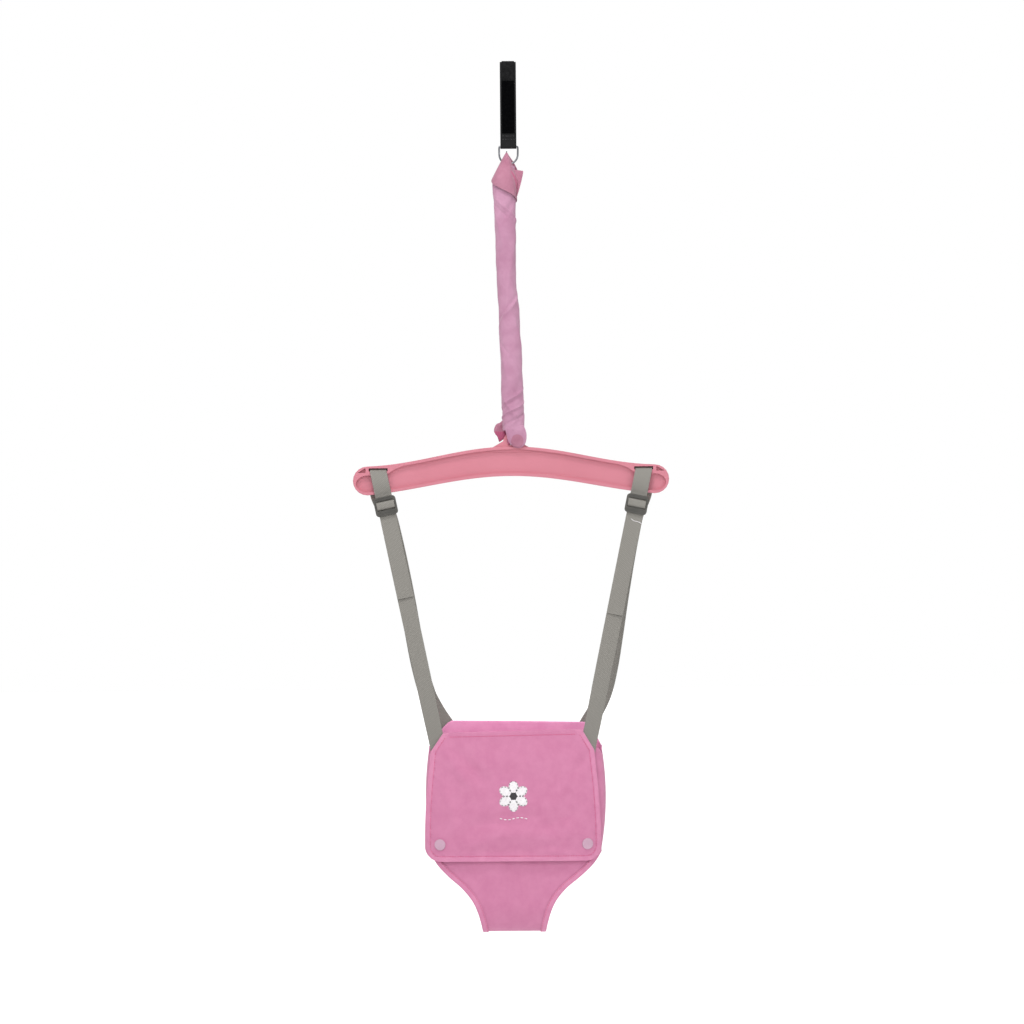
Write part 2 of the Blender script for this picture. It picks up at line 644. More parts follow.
# %% The sleeve's way, which the coil follows
SLEEVE_TOP, SLEEVE_BOTTOM = -157.0, -558.0
HEIGHT_SHARES = [0, 0.028, 0.055, 0.095, 0.15, 0.24, 0.34, 0.44, 0.53, 0.64, 0.75, 0.86, 0.93, 1]
WIDTH_SHARES = [0.76, 0.88, 1.09, 1.06, 0.99, 0.97, 0.95, 0.9, 0.95, 0.98, 1, 1.03, 1.02, 1]
WANDER_SHARES = [-0.25, -0.45, -0.53, -0.55, -0.52, -0.47, -0.4, -0.38, -0.12, 0, 0.17, 0.22, 0.36, 0.33]
SLEEVE_WIDTH, SLEEVE_DEPTH, SLEEVE_WANDER = 35.0, 29.4, 12.0


def between(shares, values, share):
    """A smooth value at a share between listed shares."""
    shares, values = np.asarray(shares, float), np.asarray(values, float)
    slopes = np.array([(values[min(i + 1, len(values) - 1)] - values[max(i - 1, 0)])
                       / (shares[min(i + 1, len(values) - 1)] - shares[max(i - 1, 0)])
                       for i in range(len(values))])
    share = np.clip(share, shares[0], shares[-1])
    i = np.clip(np.searchsorted(shares, share), 1, len(shares) - 1)
    span = shares[i] - shares[i - 1]
    t = (share - shares[i - 1]) / span
    return ((2 * t**3 - 3 * t**2 + 1) * values[i - 1] + (t**3 - 2 * t**2 + t) * slopes[i - 1] * span
            + (3 * t**2 - 2 * t**3) * values[i] + (t**3 - t**2) * slopes[i] * span)


def sleeve_share(z):
    return (SLEEVE_TOP - np.asarray(z, float)) / (SLEEVE_TOP - SLEEVE_BOTTOM)


def sleeve_middle(z):
    return SLEEVE_WANDER * between(HEIGHT_SHARES, WANDER_SHARES, sleeve_share(z))


# %% Spring
SPRING_WIRE, COIL_RADIUS, COIL_TOP, CURLS, PITCH = 2.8, 9.5, -217.0, 40, 7.5
HOOK_RADIUS = 4.5
EYE_LEVEL, EYE_RADIUS = -574.0, 6.0
hook_top = ring_low + RING_WIRE / 2 + 0.3 + SPRING_WIRE / 2
coil_bottom = COIL_TOP - CURLS * PITCH
hook_level = EYE_LEVEL + EYE_RADIUS - 0.3 - SPRING_WIRE / 2
top_hook = [(0, HOOK_RADIUS * math.cos(a), hook_top - HOOK_RADIUS + HOOK_RADIUS * math.sin(a))
            for a in np.linspace(0, math.pi, 9)]
coil = []
for t in np.linspace(0, 1, CURLS * 12 + 1):
    turn = -math.pi / 2 + 2 * math.pi * CURLS * t
    z = COIL_TOP + (coil_bottom - COIL_TOP) * t
    coil.append((0.5 * float(sleeve_middle(z)) + COIL_RADIUS * math.cos(turn),
                 COIL_RADIUS * math.sin(turn), z))
lower_hook = [(0, -7.0 + 3 * (1 - math.cos(a)), hook_level + 3 - 3 * math.sin(a))
              for a in np.linspace(0, math.pi / 2, 5)]
lower_hook += [(0, -y, z) for _, y, z in lower_hook[::-1]]
spring_line = ([(0, HOOK_RADIUS, hook_top - HOOK_RADIUS - SPRING_WIRE)] + top_hook
               + [(0, -HOOK_RADIUS, COIL_TOP + 24), (0, -(HOOK_RADIUS + COIL_RADIUS) / 2, COIL_TOP + 12)]
               + coil
               + [(0, -(7 + COIL_RADIUS) / 2, coil_bottom - 6), (0, -7.0, coil_bottom - 12)] + lower_hook
               + [(0, 7.0, hook_level + 14)])
spring = wire("spring_coil", smooth_line(spring_line, 2.6), SPRING_WIRE / 2, spring_steel, sides=10)
bend_piece(spring, ("spring", "lower_loop"), (-175, -550), "spring_steel", "bounce_spring")
print("spring:", len(spring.data.vertices), "points")

# %% Safety strap
SAFETY_WIDTH, SAFETY_THICK, SAFETY_OFFSET, SAFETY_SPLIT = 5.6, 1.1, 6.7, -165.0
over = RING_WIRE / 2 + 0.6 + SAFETY_THICK / 2
lean = math.asin(SAFETY_OFFSET / ring_half)
foot = np.array([-SAFETY_OFFSET, 0, ring_arc_centre - ring_half * math.cos(lean)])
inward = np.array([math.sin(lean), 0, math.cos(lean)])
hook = [foot + inward * over * math.sin(a) + np.array([0, -over * math.cos(a), 0])
        for a in np.linspace(0, math.pi, 11)]
tip = np.array([-SAFETY_OFFSET, -over, foot[2] - 3 * over])
behind = COIL_RADIUS + SPRING_WIRE / 2 + 0.3 + SAFETY_THICK / 2
wave = [(float(sleeve_middle(z)), behind + 0.1 * math.sin(2 * math.pi * 7 * t), z)
        for t in np.linspace(0, 1, 29) for z in [COIL_TOP + (coil_bottom - COIL_TOP) * t]]
below = [np.array([-SAFETY_OFFSET, over, z]) for z in (foot[2] - 3 * over, SAFETY_SPLIT)]
hook_line = [tip] + hook + below
along_ring = np.array([math.cos(lean), 0, -math.sin(lean)])
hook_piece = tape("safety_hook", hook_line, [along_ring] * 12 + [[1, 0, 0]] * 2, SAFETY_WIDTH, SAFETY_THICK,
                  grey_webbing, step=1.0)
place_piece(hook_piece, "safety", "grey_webbing", "safety_strap")
run_line = [below[1]] + wave + [(0, 11 - 2.6 - SPRING_WIRE, -548 + 12)]
run_piece = tape("safety_run", run_line, np.tile([1.0, 0, 0], (len(run_line), 1)), SAFETY_WIDTH,
                 SAFETY_THICK, grey_webbing, step=3.0)
bend_piece(run_piece, ("spring", "lower_loop"), (-175, -550), "grey_webbing", "safety_strap")

# %% [markdown]
# The sleeve is a soft cotton tube with the spring loose inside it. On the real one the cloth wanders, and
# its top is folded to a point that is drawn through the ring. The tube is a skin over rings whose radius
# is pushed in and out by a few folds. The folded top is a second sheet that wraps the tube, with a corner
# turned back behind it.

# %% Sleeve tube
SLEEVE_SIDES, SLEEVE_ROWS, SLEEVE_THICK, FOLD_RISE = 96, 300, 0.9, 1.9
DEPTH_SHARES = [0.84, 0.9, 0.94, 0.98] + [1] * 10
# Each fold: height, angle round the tube, reach down, reach round, depth, and how far it slants
SLEEVE_FOLDS = [
    (-222, -1.2, 26, 0.35, -1.3, 0.045), (-250, -2.2, 34, 0.3, 1.0, -0.02),
    (-300, -1.0, 50, 0.28, 0.8, 0.012), (-352, -1.9, 40, 0.3, -0.9, 0.016),
    (-398, -0.9, 34, 0.3, 0.8, -0.02), (-430, -1.6, 26, 0.32, -0.9, 0.03),
    (-470, -2.1, 36, 0.3, 0.8, -0.02), (-498, -1.1, 26, 0.3, -1.1, 0.035),
    (-526, -1.8, 22, 0.3, 1.1, -0.04), (-545, -1.1, 14, 0.35, -1.3, 0.05),
    (-330, 1.2, 60, 0.4, -1.2, 0.01), (-450, 1.9, 50, 0.4, -1.0, -0.01),
    (-240, 1.6, 40, 0.4, -1.0, 0.015), (-280, 0.1, 50, 0.3, -0.8, 0.01), (-480, 3.1, 50, 0.3, -0.8, 0.01),
    (-232, -1.5, 16, 0.2, -1.4, -0.07), (-226, -1.1, 18, 0.2, 1.2, -0.07),
    (-508, -1.5, 12, 0.2, 1.4, 0.1), (-517, -1.8, 11, 0.22, -1.5, 0.11), (-528, -1.7, 12, 0.2, 1.6, 0.12),
    (-541, -1.35, 12, 0.26, -2.2, 0.12), (-365, -1.3, 20, 0.2, -1.2, 0.06),
    (-376, -1.6, 20, 0.2, 1.0, 0.06), (-440, -1.9, 22, 0.2, -1.2, -0.05),
]


def fold_height(z, angle):
    """How far the folds push the sleeve's surface out at a height and an angle."""
    total = np.zeros(np.broadcast(z, angle).shape)
    for level, at, reach, spread, size, slant in SLEEVE_FOLDS:
        away = angle - at - slant * (z - level)
        away = (away + math.pi) % (2 * math.pi) - math.pi
        size = size * FOLD_RISE if size > 0 else size
        total += size * np.exp(-((z - level) / reach) ** 2 - (away / spread) ** 2)
    return total


def sleeve_surface(z, angle, out=0.0):
    """Points on the sleeve, out millimetres outside its outer face."""
    z, angle = np.broadcast_arrays(np.asarray(z, float), np.asarray(angle, float))
    share = sleeve_share(z)
    wide = SLEEVE_WIDTH / 2 * between(HEIGHT_SHARES, WIDTH_SHARES, share)
    deep = SLEEVE_DEPTH / 2 * between(HEIGHT_SHARES, DEPTH_SHARES, share)
    ripple = fold_height(z, angle) + 0.25 * np.sin(z / 9.0 + 3 * angle) + 0.15 * np.sin(z / 4.3 - 5 * angle)
    ripple = np.where(np.sin(angle) > 0.2, np.maximum(ripple, -0.1), ripple)
    push = out + ripple - 1.0
    return np.stack([sleeve_middle(z) + (wide + push) * np.cos(angle), (deep + push) * np.sin(angle), z], -1)


def tube_skin(name, outer, inner, material):
    """A tube wall between an outer and an inner grid of rings, closed round both ends."""
    rows, count = outer.shape[:2]
    points = np.vstack([outer.reshape(-1, 3), inner[::-1].reshape(-1, 3)])
    return solid(name, points, ring_faces(2 * rows, count, closed=True), material, smooth_angle=80)


heights = np.linspace(SLEEVE_TOP, SLEEVE_BOTTOM, SLEEVE_ROWS)[:, None]
turns = 2 * math.pi * np.arange(SLEEVE_SIDES)[None] / SLEEVE_SIDES
sleeve = tube_skin("sleeve_tube", sleeve_surface(heights, turns),
                   sleeve_surface(heights, turns, -SLEEVE_THICK), sleeve_cloth)
bend_piece(sleeve, ("spring", "lower_loop"), (-215, -550), "sleeve_cloth", "spring_sleeve")
print("sleeve:", len(sleeve.data.vertices), "points")

# %% Folded top of the sleeve
TIP_LEVEL, TIP_X = -136.8, -3.0
FOLD_LEFT, FOLD_RIGHT = -174.5, -213.0
WRAP_ROWS, WRAP_COLUMNS = 70, 160
SEAM_HALF = 2.05
# The crease runs down the sheet at a slope, and the pocket beside it shows the cloth's inside
CREASE_SLOPE, CREASE_START = 0.715, 0.07
POCKET_TOP, POCKET_LOW, POCKET_LENGTH = 0.42, 0.86, 0.44
POCKET_NEAR, POCKET_WIDTH = 0.03, 0.34
TIP_TOP, TIP_Y, WIDEST_LEVEL = -136.0, -3.4, -177.0


def folded_top():
    """A sheet from the tip down over the tube's front to the slanting fold."""
    down = np.linspace(0, 1, WRAP_ROWS)[:, None]
    across = np.linspace(-1, 1, WRAP_COLUMNS)[None]
    low = (FOLD_LEFT + FOLD_RIGHT) / 2 + (FOLD_RIGHT - FOLD_LEFT) / 2 * across
    z = TIP_TOP + (low - TIP_TOP) * down
    on_tube = sleeve_surface(np.minimum(z, WIDEST_LEVEL), -math.pi / 2 + SEAM_HALF * across, 1.5)
    spread = np.clip((TIP_TOP - z) / (TIP_TOP - WIDEST_LEVEL), 0, 1)
    reach = 0.01 + 0.99 * spread ** np.where(across < 0, 0.92, 0.75)
    x = TIP_X + (on_tube[..., 0] - TIP_X) * reach
    lean = spread**0.5
    y = np.where(on_tube[..., 1] < 0, TIP_Y + (on_tube[..., 1] - TIP_Y) * lean,
                 on_tube[..., 1] * lean + TIP_Y * (1 - lean))
    past_crease = across - CREASE_SLOPE * down + CREASE_START
    crease = 3.0 / (1 + np.exp(past_crease / 0.035)) * np.clip(down * 6 - 2.5, 0, 1)
    bulge = 2.6 * np.sin(np.pi * np.clip((down - 0.3) / 0.75, 0, 1)) * np.clip(1.3 - np.abs(across), 0, 1)
    return np.stack([x, y - crease - bulge, z], -1)


top_grid = folded_top()
top = cloth_sheet("sleeve_folded_top", top_grid, 0.9, sleeve_double, (0, -1, 0))
top.data.materials.append(sleeve_inside)
for number in range((WRAP_ROWS - 1) * (WRAP_COLUMNS - 1)):
    row, column = divmod(number, WRAP_COLUMNS - 1)
    down = row / WRAP_ROWS
    past_crease = 2 * column / WRAP_COLUMNS - 1 - CREASE_SLOPE * row / WRAP_ROWS + CREASE_START
    if POCKET_TOP < down < POCKET_LOW:
        pocket = POCKET_WIDTH * math.sin(math.pi * (down - POCKET_TOP) / POCKET_LENGTH) ** 0.7
        if POCKET_NEAR < past_crease < pocket:
            top.data.polygons[number].material_index = 1
place_piece(top, "spring", "sleeve_cloth", "sleeve_top_loop")
sleeve_grid = sleeve_surface(heights, np.linspace(0, 2 * math.pi, SLEEVE_SIDES)[None])

# %% Back of the folded top, and its turned corner
def back_tongue():
    """The point's other half, from the tip down behind the ring into the tube's top."""
    down = np.linspace(0, 1, 30)[:, None]
    across = np.linspace(-1, 1, 24)[None]
    wide = 1.0 + 12.5 * down**1.5
    z = TIP_LEVEL - 26.0 * down + 0 * across
    y = -2.4 + 13.2 * np.sin(down * math.pi / 2) ** 0.7 * np.sqrt(1 - 0.2 * across**2)
    middle = TIP_X * (1 - down) + 3.0 * np.sin(np.pi * down)
    return np.stack([middle + wide * across, y, z], -1)


def turned_corner():
    """A flat corner of the sleeve's cloth, turned back at the upper right."""
    down = np.linspace(0, 1, 24)[:, None]
    across = np.linspace(0, 1, 14)[None]
    x = 5.0 + (17.0 - 9.5 * down**1.3) * across + 0 * down
    z = -161.5 - 41.0 * down - 3.0 * across * (1 - down)
    y = -2.0 - 3.0 * across + 2.2 * np.sin(2.6 * across + 1.2 * down)
    return np.stack([x, y, z], -1)


tongue = cloth_sheet("sleeve_back_tongue", back_tongue(), 1.0, sleeve_double, (0, 1, 0))
turned_back = cloth_sheet("sleeve_turned_corner", turned_corner(), 0.9, sleeve_double, (0, -1, 0))
place_piece(tongue, "spring", "sleeve_cloth", "sleeve_top_loop")
place_piece(turned_back, "spring", "sleeve_cloth")
knot_line = [(TIP_X - 0.3, -4.6, TIP_LEVEL - 1.2), (TIP_X, -4.0, TIP_LEVEL + 0.6),
             (TIP_X + 0.3, -3.2, TIP_LEVEL + 2.4)]
place_piece(wire("sleeve_tip_thread", smooth_line(knot_line, 0.4), 0.8, dark_thread, sides=10), "spring",
            "sleeve_cloth")

# %% Gathered lower end of the sleeve
def bag(name, stations, material, sides=96):
    """A soft closed form over stations of (x, y, z, half width, half depth), gathered at both ends."""
    line = smooth_line(np.asarray(stations, float), 0.6)
    middle, sizes = line[:, :3], np.maximum(line[:, 3:], 0.4)
    along = unit(np.gradient(middle, axis=0))
    side = unit(np.array([1.0, 0, 0]) - along * along[:, :1])
    depth = np.cross(along, side)
    angle = round_angles(sides)
    down = np.linspace(0, 1, len(line))[:, None]
    gather = 1 + 0.035 * np.cos(5 * angle + 0.6 + 2 * down) + 0.03 * np.cos(9 * angle - 3 * down)
    for start, twist in ((1.3, 0.5), (2.0, -0.4)):
        gather = gather - 0.3 * np.exp(-((angle - start - twist * down) / 0.16) ** 2) * (1 - down)
    rings = (middle[:, None] + side[:, None] * (np.cos(angle) * gather)[..., None] * sizes[:, None, :1]
             + depth[:, None] * (np.sin(angle) * gather)[..., None] * sizes[:, None, 1:])
    return solid(name, rings.reshape(-1, 3), ring_faces(len(line), sides), material, smooth_angle=80)


LOBE_FRONT = [
    (3, -5.5, -546, 9, 3), (5, -9.8, -554, 13.5, 3.0), (8.5, -11.2, -563, 15, 2.6),
    (10.5, -11.2, -571, 14.2, 2.6), (12, -10.8, -578, 11, 2.3), (12.6, -10.2, -583, 6.5, 1.8),
    (12.8, -9.8, -584.8, 2.4, 1.0),
]
LOBE_BACK = [
    (-4, 6, -545, 8, 3), (-9, 9, -551.5, 9.3, 3), (-12.2, 10.3, -555.5, 12, 3),
    (-13.9, 10.7, -558.5, 11.6, 2.8), (-14.1, 10.8, -562.5, 9.6, 2.6), (-14.4, 10.7, -566.5, 7.4, 2.4),
    (-15.8, 10.4, -571, 3.6, 1.8), (-17.2, 10.1, -575, 0.7, 0.8),
]
LOOP_IN_EYE = [
    (0, -8.4, -556, 4.4, 2.0), (0, -8.8, -566, 5.2, 2.4), (0, -7.8, -572, 5.6, 4.4),
    (0, -4.0, -574.4, 6.1, 6.1), (0, 0, -574.4, 6.1, 6.1), (0, 4.0, -574.4, 6.1, 6.1),
    (0, 7.8, -572, 5.6, 4.4), (0, 8.8, -566, 5.2, 2.4), (0, 8.4, -556, 4.4, 2.0),
]
for piece_name, stations, cloth in (("sleeve_lobe_front", LOBE_FRONT, sleeve_cloth),
                                    ("sleeve_lobe_back", LOBE_BACK, sleeve_double),
                                    ("sleeve_loop_in_eye", LOOP_IN_EYE, sleeve_inside)):
    lobe = bag(piece_name, stations, cloth)
    lobe.data.materials.append(sleeve_inside if cloth == sleeve_double else sleeve_double)
    for polygon in lobe.data.polygons:
        x, _, z = polygon.center / MM
        if cloth == sleeve_double:
            turned_under = z < -559.5
        else:
            turned_under = math.hypot((x - 10) / 9.6, (z + 574.5) / 10.5) < 1
        polygon.material_index = int(turned_under and cloth != sleeve_inside)
    place_piece(lobe, "lower_loop", "sleeve_cloth", "sleeve_lower_loop")
print("sleeve ends made")

# %% [markdown]
# The hanger bar and the adjusters are mouldings, and their CAD solids already have the pockets, slots and
# bars. A moulding never has a knife edge, so each keeps its solid, and two modifiers soften its facets
# and edges, as far as the solid's own triangles let them. That way the visible part can't drift from the
# solid that the motion uses.

# %% Moulded parts
FLAT_ANGLE, EDGE_ANGLE, EDGE_SEGMENTS = 0.6, 32, 3
MOULDED = {"hanger_bar": (hanger_plastic, 0.9), "slider_left": (slider_plastic, 0.35),
           "slider_right": (slider_plastic, 0.35)}

for node_name, (plastic, radius) in MOULDED.items():
    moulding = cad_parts[node_name]
    moulding.data.materials.clear()
    moulding.data.materials.append(plastic)
    flats = moulding.modifiers.new("join_flats", "DECIMATE")
    flats.decimate_type, flats.angle_limit = "DISSOLVE", math.radians(FLAT_ANGLE)
    edge = moulding.modifiers.new("round_edges", "BEVEL")
    edge.width, edge.segments, edge.limit_method = radius * MM, EDGE_SEGMENTS, "ANGLE"
    edge.angle_limit = math.radians(EDGE_ANGLE)
    edge.harden_normals = True
print("moulded parts softened")

# %% [markdown]
# Grey tape carries the seat. Each side has one long tape: it is sewn to the seat's back, runs up behind
# the hanger bar, turns over the lip of its slot, and is threaded through the adjuster, where its end
# hangs free. A second tape loops round the adjuster's middle bar and is sewn into the seat's front. Every
# turn is drawn in the side view of the adjuster, because that is what holds the seat up.

# %% Sizes of the webbing and its adjuster
WEB_WIDTH, WEB_THICK, GAP = 25.2, 1.3, 0.3
SLOT_X, HANGER_DEPTH = 201.5, 14.0
CORNER_X, CORNER_Z, SEWN_RUN = 115.0, -1032.0, 27.0
BACK_Z, BACK_RUN = -1009.0, 30.0
BACK_X, BACK_SPREAD = {-1: 99.3, 1: 112.0}, {-1: 1.05, 1: 1.17}
BACK_SLANT = {-1: math.pi / 5, 1: math.pi / 9}
TAILS = {-1: 128.0, 1: 156.0}
SLIDER_HEIGHT, TOP_BAR, UPPER_SLOT, CENTRE_BAR, LOWER_SLOT = 29.0, 5.5, 5.0, 4.5, 5.5
SLIDER_FALL, SLIDER_THICK = 54.0, 3.2
STRAND_SPLIT, SLOT_HUMP, SLOT_FILL, SLIDER_FILL = -950.0, 2.3, 3.1, 1.9
BULGE = 5.0


def hanger_drop(x, start, half, drop):
    return start - drop * (1 - np.cos(np.pi * np.minimum(np.abs(x) / half, 1))) / 2


slot_level = hanger_drop(SLOT_X, -582.4, 228, 28.9) - 3.7 - 4.6 / 2
lip_level = slot_level - 4.6 / 2
hanger_low = hanger_drop(SLOT_X, -582.4 - 44.8, 258, 29.6)
front_lean = math.atan2(SLOT_X - CORNER_X, lip_level - CORNER_Z)
above_lip = WEB_THICK / 2 + GAP
web_outside = HANGER_DEPTH / 2 + above_lip
slider_plane = -(web_outside + above_lip + SLIDER_THICK / 2)
behind_bar = SLIDER_THICK / 2 + above_lip
over_loop = behind_bar + WEB_THICK + GAP
behind_tail = behind_bar + 2 * (WEB_THICK + GAP)
bar_top = SLIDER_HEIGHT / 2 - TOP_BAR - UPPER_SLOT
bar_low = bar_top - CENTRE_BAR
low_slot = bar_low - LOWER_SLOT
high_slot = SLIDER_HEIGHT / 2 - TOP_BAR
panel_fall = (lip_level - CORNER_Z) / math.cos(front_lean)
print("strap leans", round(math.degrees(front_lean), 2), "degrees")

# %% The seat's surface, which the straps end on
SEAT_HALF, SEAT_DRAW, SEAT_WIDEST = 137.5, 7.0, -1112.0
SEAT_DEPTH, SEAT_BELLY, SEAT_TOP = 32.0, 6.0, -1020.0
CROTCH, CROTCH_BEND, SEAM = -1318.3, 55.0, 0.6
bend_top = CROTCH + CROTCH_BEND


def seat_half_width(z):
    return SEAT_HALF - SEAT_DRAW * np.minimum(((z - SEAT_WIDEST) / 80) ** 2, 1)


def seat_depth(z):
    low = np.maximum(z, bend_top)
    share = np.clip((SEAT_TOP - low) / (SEAT_TOP - bend_top), 0, 1)
    fall = np.minimum((low - z) / (CROTCH_BEND - 1.2), 1)
    return (SEAT_DEPTH + SEAT_BELLY * np.sin(np.pi * share)) * np.sqrt(1 - fall**2)


def seat_reach(x, z, extra=0.0):
    """How far the seat's middle surface stands in front of, or behind, the middle plane."""
    across = np.minimum(np.abs(x) / (seat_half_width(z) + extra), 1)
    return (seat_depth(z) + extra) * (1 - across**4) ** 0.25


def strap_on_panel(x, z):
    return -float(seat_reach(x, z)) - SEAM / 2 - 1.2 - 1.35 * above_lip


def front_point(side, fall, y):
    """A point on one side's front line, a fall below the slot's lip."""
    return (side * (SLOT_X - fall * math.sin(front_lean)), y, lip_level - fall * math.cos(front_lean))


def front_y(fall):
    """How far forward the front strap lies at a fall below the lip."""
    start = SLIDER_FALL + SLIDER_HEIGHT / 2
    x, _, z = front_point(1, panel_fall, 0)
    share = min(max((fall - start) / (panel_fall - start), 0), 1)
    return (1 - share) * (slider_plane + behind_tail) + share * strap_on_panel(x, z)


def leaning(side, share=1.0):
    return (math.cos(front_lean * share), 0, -side * math.sin(front_lean * share))


def bunched(points):
    """The tape's width at each point: it fills the slot where it turns inside it."""
    points = np.asarray(points, float)
    return WEB_WIDTH + np.where(points[:, 2] > lip_level, SLOT_FILL * np.exp(-(points[:, 1] / 3.5) ** 2), 0)


# %% Back strand
BACK_FALLS = [0, 0.09, 0.18, 0.3, 0.45, 0.6, 0.75, 0.86, 0.94, 1]
BACK_REACHES = [0, 0.14, 0.22, 0.31, 0.41, 0.5, 0.6, 0.71, 0.86, 1]


def back_strand(side):
    """Stations of (x, y, z, across) from the middle of the slot down to the end sewn on the back panel."""
    def on_back(x, z):
        return float(seat_reach(x / BACK_SPREAD[side], z)) + SEAM / 2 + 1.2 + 1.7 * above_lip
    line, sewn_x = [], BACK_X[side]
    for fall, reach in zip(BACK_FALLS, BACK_REACHES):
        z = hanger_low + (BACK_Z - hanger_low) * fall
        x = SLOT_X + (sewn_x - SLOT_X) * reach
        line.append((side * x, web_outside + (on_back(sewn_x, BACK_Z) - web_outside) * fall, z))
    end_x = sewn_x - BACK_RUN * math.sin(BACK_SLANT[side])
    end_z = BACK_Z - BACK_RUN * math.cos(BACK_SLANT[side])
    for t in (1 / 3, 2 / 3, 1):
        x, z = sewn_x + (end_x - sewn_x) * t, BACK_Z + (end_z - BACK_Z) * t
        line.append((side * x, on_back(x, z), z))
    line = np.array(line)
    ways = unit((np.gradient(-line, axis=0)) * [1, 0, 1])
    across = np.stack([ways[:, 2], np.zeros(len(line)), -ways[:, 0]], 1)
    for i in range(len(BACK_FALLS) - 2, len(line)):
        x, z = abs(line[i, 0]), line[i, 2]
        probe = WEB_WIDTH / 4
        across[i, 1] = side * (on_back(x + probe, z) - on_back(x - probe, z)) / (2 * probe)
    lip = [(side * SLOT_X, HANGER_DEPTH / 2 + above_lip * math.cos(a), lip_level + above_lip * math.sin(a))
           for a in np.linspace(math.pi / 2, 0, 5)]
    lip = [(side * SLOT_X, 0, lip_level + above_lip + SLOT_HUMP)] + lip
    level = np.tile([1.0, 0, 0], (len(lip), 1))
    return np.hstack([np.vstack([lip, line]), np.vstack([level, across])])


def split_line(table, level):
    """Cuts a line of stations at a height. Returns the part above it and the part below."""
    z = table[:, 2]
    i = int(np.argmax(z < level))
    t = (z[i - 1] - level) / (z[i - 1] - z[i])
    at = table[i - 1] + (table[i] - table[i - 1]) * t
    return np.vstack([table[:i], at]), np.vstack([at, table[i:]])


for side, word in SIDES:
    smooth = smooth_line(back_strand(side), 4.0)
    upper_run, lower_run = split_line(smooth, STRAND_SPLIT)
    upper_piece = tape(f"back_strand_{word}", upper_run[:, :3], upper_run[:, 3:], bunched(upper_run[:, :3]),
                       WEB_THICK, grey_webbing)
    bend_piece(upper_piece, ("hanger", "straps"), (-630, -930), "grey_webbing", f"adjuster_webbing_{word}")
    lower_piece = tape(f"back_strap_end_{word}", lower_run[:, :3], lower_run[:, 3:], WEB_WIDTH, WEB_THICK,
                       grey_webbing)
    bend_piece(lower_piece, ("straps", "seat"), (-970, -1005), "grey_webbing", f"adjuster_webbing_{word}")
    keeper_line = [(side * SLOT_X, 2.0, lip_level + rise) for rise in (-0.3, 2.3, 5.0)]
    keeper = tape(f"slot_fold_{word}", keeper_line, np.tile([1.0, 0, 0], (3, 1)), 29.4, 1.0, black_webbing)
    place_piece(keeper, "hanger", "grey_webbing")
print("back strands made")

# %% Front of the long tape: over the lip, through the adjuster, and its loose end
def threaded_route():
    """The long tape through the adjuster, as (distance behind its middle, rise above its middle)."""
    upper, lower = bar_top + 2 * above_lip, bar_low - 2 * above_lip
    return [
        (behind_bar, SLIDER_HEIGHT / 2 + WEB_THICK), (behind_bar, high_slot - GAP),
        (behind_bar * 0.86, high_slot - 1.1 * WEB_THICK), (behind_bar * 0.47, upper + WEB_THICK),
        (-behind_bar * 0.24, upper + 0.75 * WEB_THICK), (-over_loop * 0.7, upper + 0.45 * WEB_THICK),
        (-over_loop * 0.94, upper - 0.4 * WEB_THICK), (-over_loop, bar_top - GAP), (-over_loop, bar_low),
        (-over_loop * 0.94, lower + 0.3 * WEB_THICK), (-over_loop * 0.67, lower - 0.55 * WEB_THICK),
        (-over_loop * 0.24, lower - WEB_THICK), (behind_bar * 0.35, lower - 1.35 * WEB_THICK),
        (behind_bar * 0.8, low_slot + 1.15 * WEB_THICK), (behind_bar, low_slot + GAP),
        (behind_bar, -SLIDER_HEIGHT / 2),
    ]


def tail_y(side, t):
    """How far forward the loose end lies at a share of its length."""
    fall = SLIDER_FALL + SLIDER_HEIGHT / 2 + TAILS[side] * t
    return front_y(fall) - (WEB_THICK + GAP) * (2 - 0.5 * t) - 1.2 * math.sin(3 * t) * t


def in_slider(rise):
    """How much wider the tape is squeezed where it passes the adjuster's slots."""
    return SLIDER_FILL if low_slot - 2 < rise < high_slot + 2 else 0


def front_of_tape(side):
    line, across = [(side * SLOT_X, 0, lip_level + above_lip + SLOT_HUMP)], [(1, 0, 0)]
    for a in np.linspace(math.pi / 2, math.pi, 5):
        line.append((side * SLOT_X, -HANGER_DEPTH / 2 + above_lip * math.cos(a),
                     lip_level + above_lip * math.sin(a)))
        across.append((1, 0, 0))
    clear = SLIDER_FALL - SLIDER_HEIGHT / 2 - 2 * WEB_THICK
    for t in np.linspace(0, 1, 7)[1:]:
        line.append(front_point(side, clear * t, -web_outside - BULGE * math.sin(math.pi * t)))
        across.append(leaning(side, t))
    width = list(bunched(line))
    for y, rise in threaded_route():
        line.append(front_point(side, SLIDER_FALL - rise, slider_plane + y))
        across.append(leaning(side))
        width.append(WEB_WIDTH + in_slider(rise))
    for t in np.linspace(0, 1, 9)[1:]:
        line.append(front_point(side, SLIDER_FALL + SLIDER_HEIGHT / 2 + TAILS[side] * t, tail_y(side, t)))
        across.append(leaning(side))
        width.append(WEB_WIDTH)
    return line, across, width


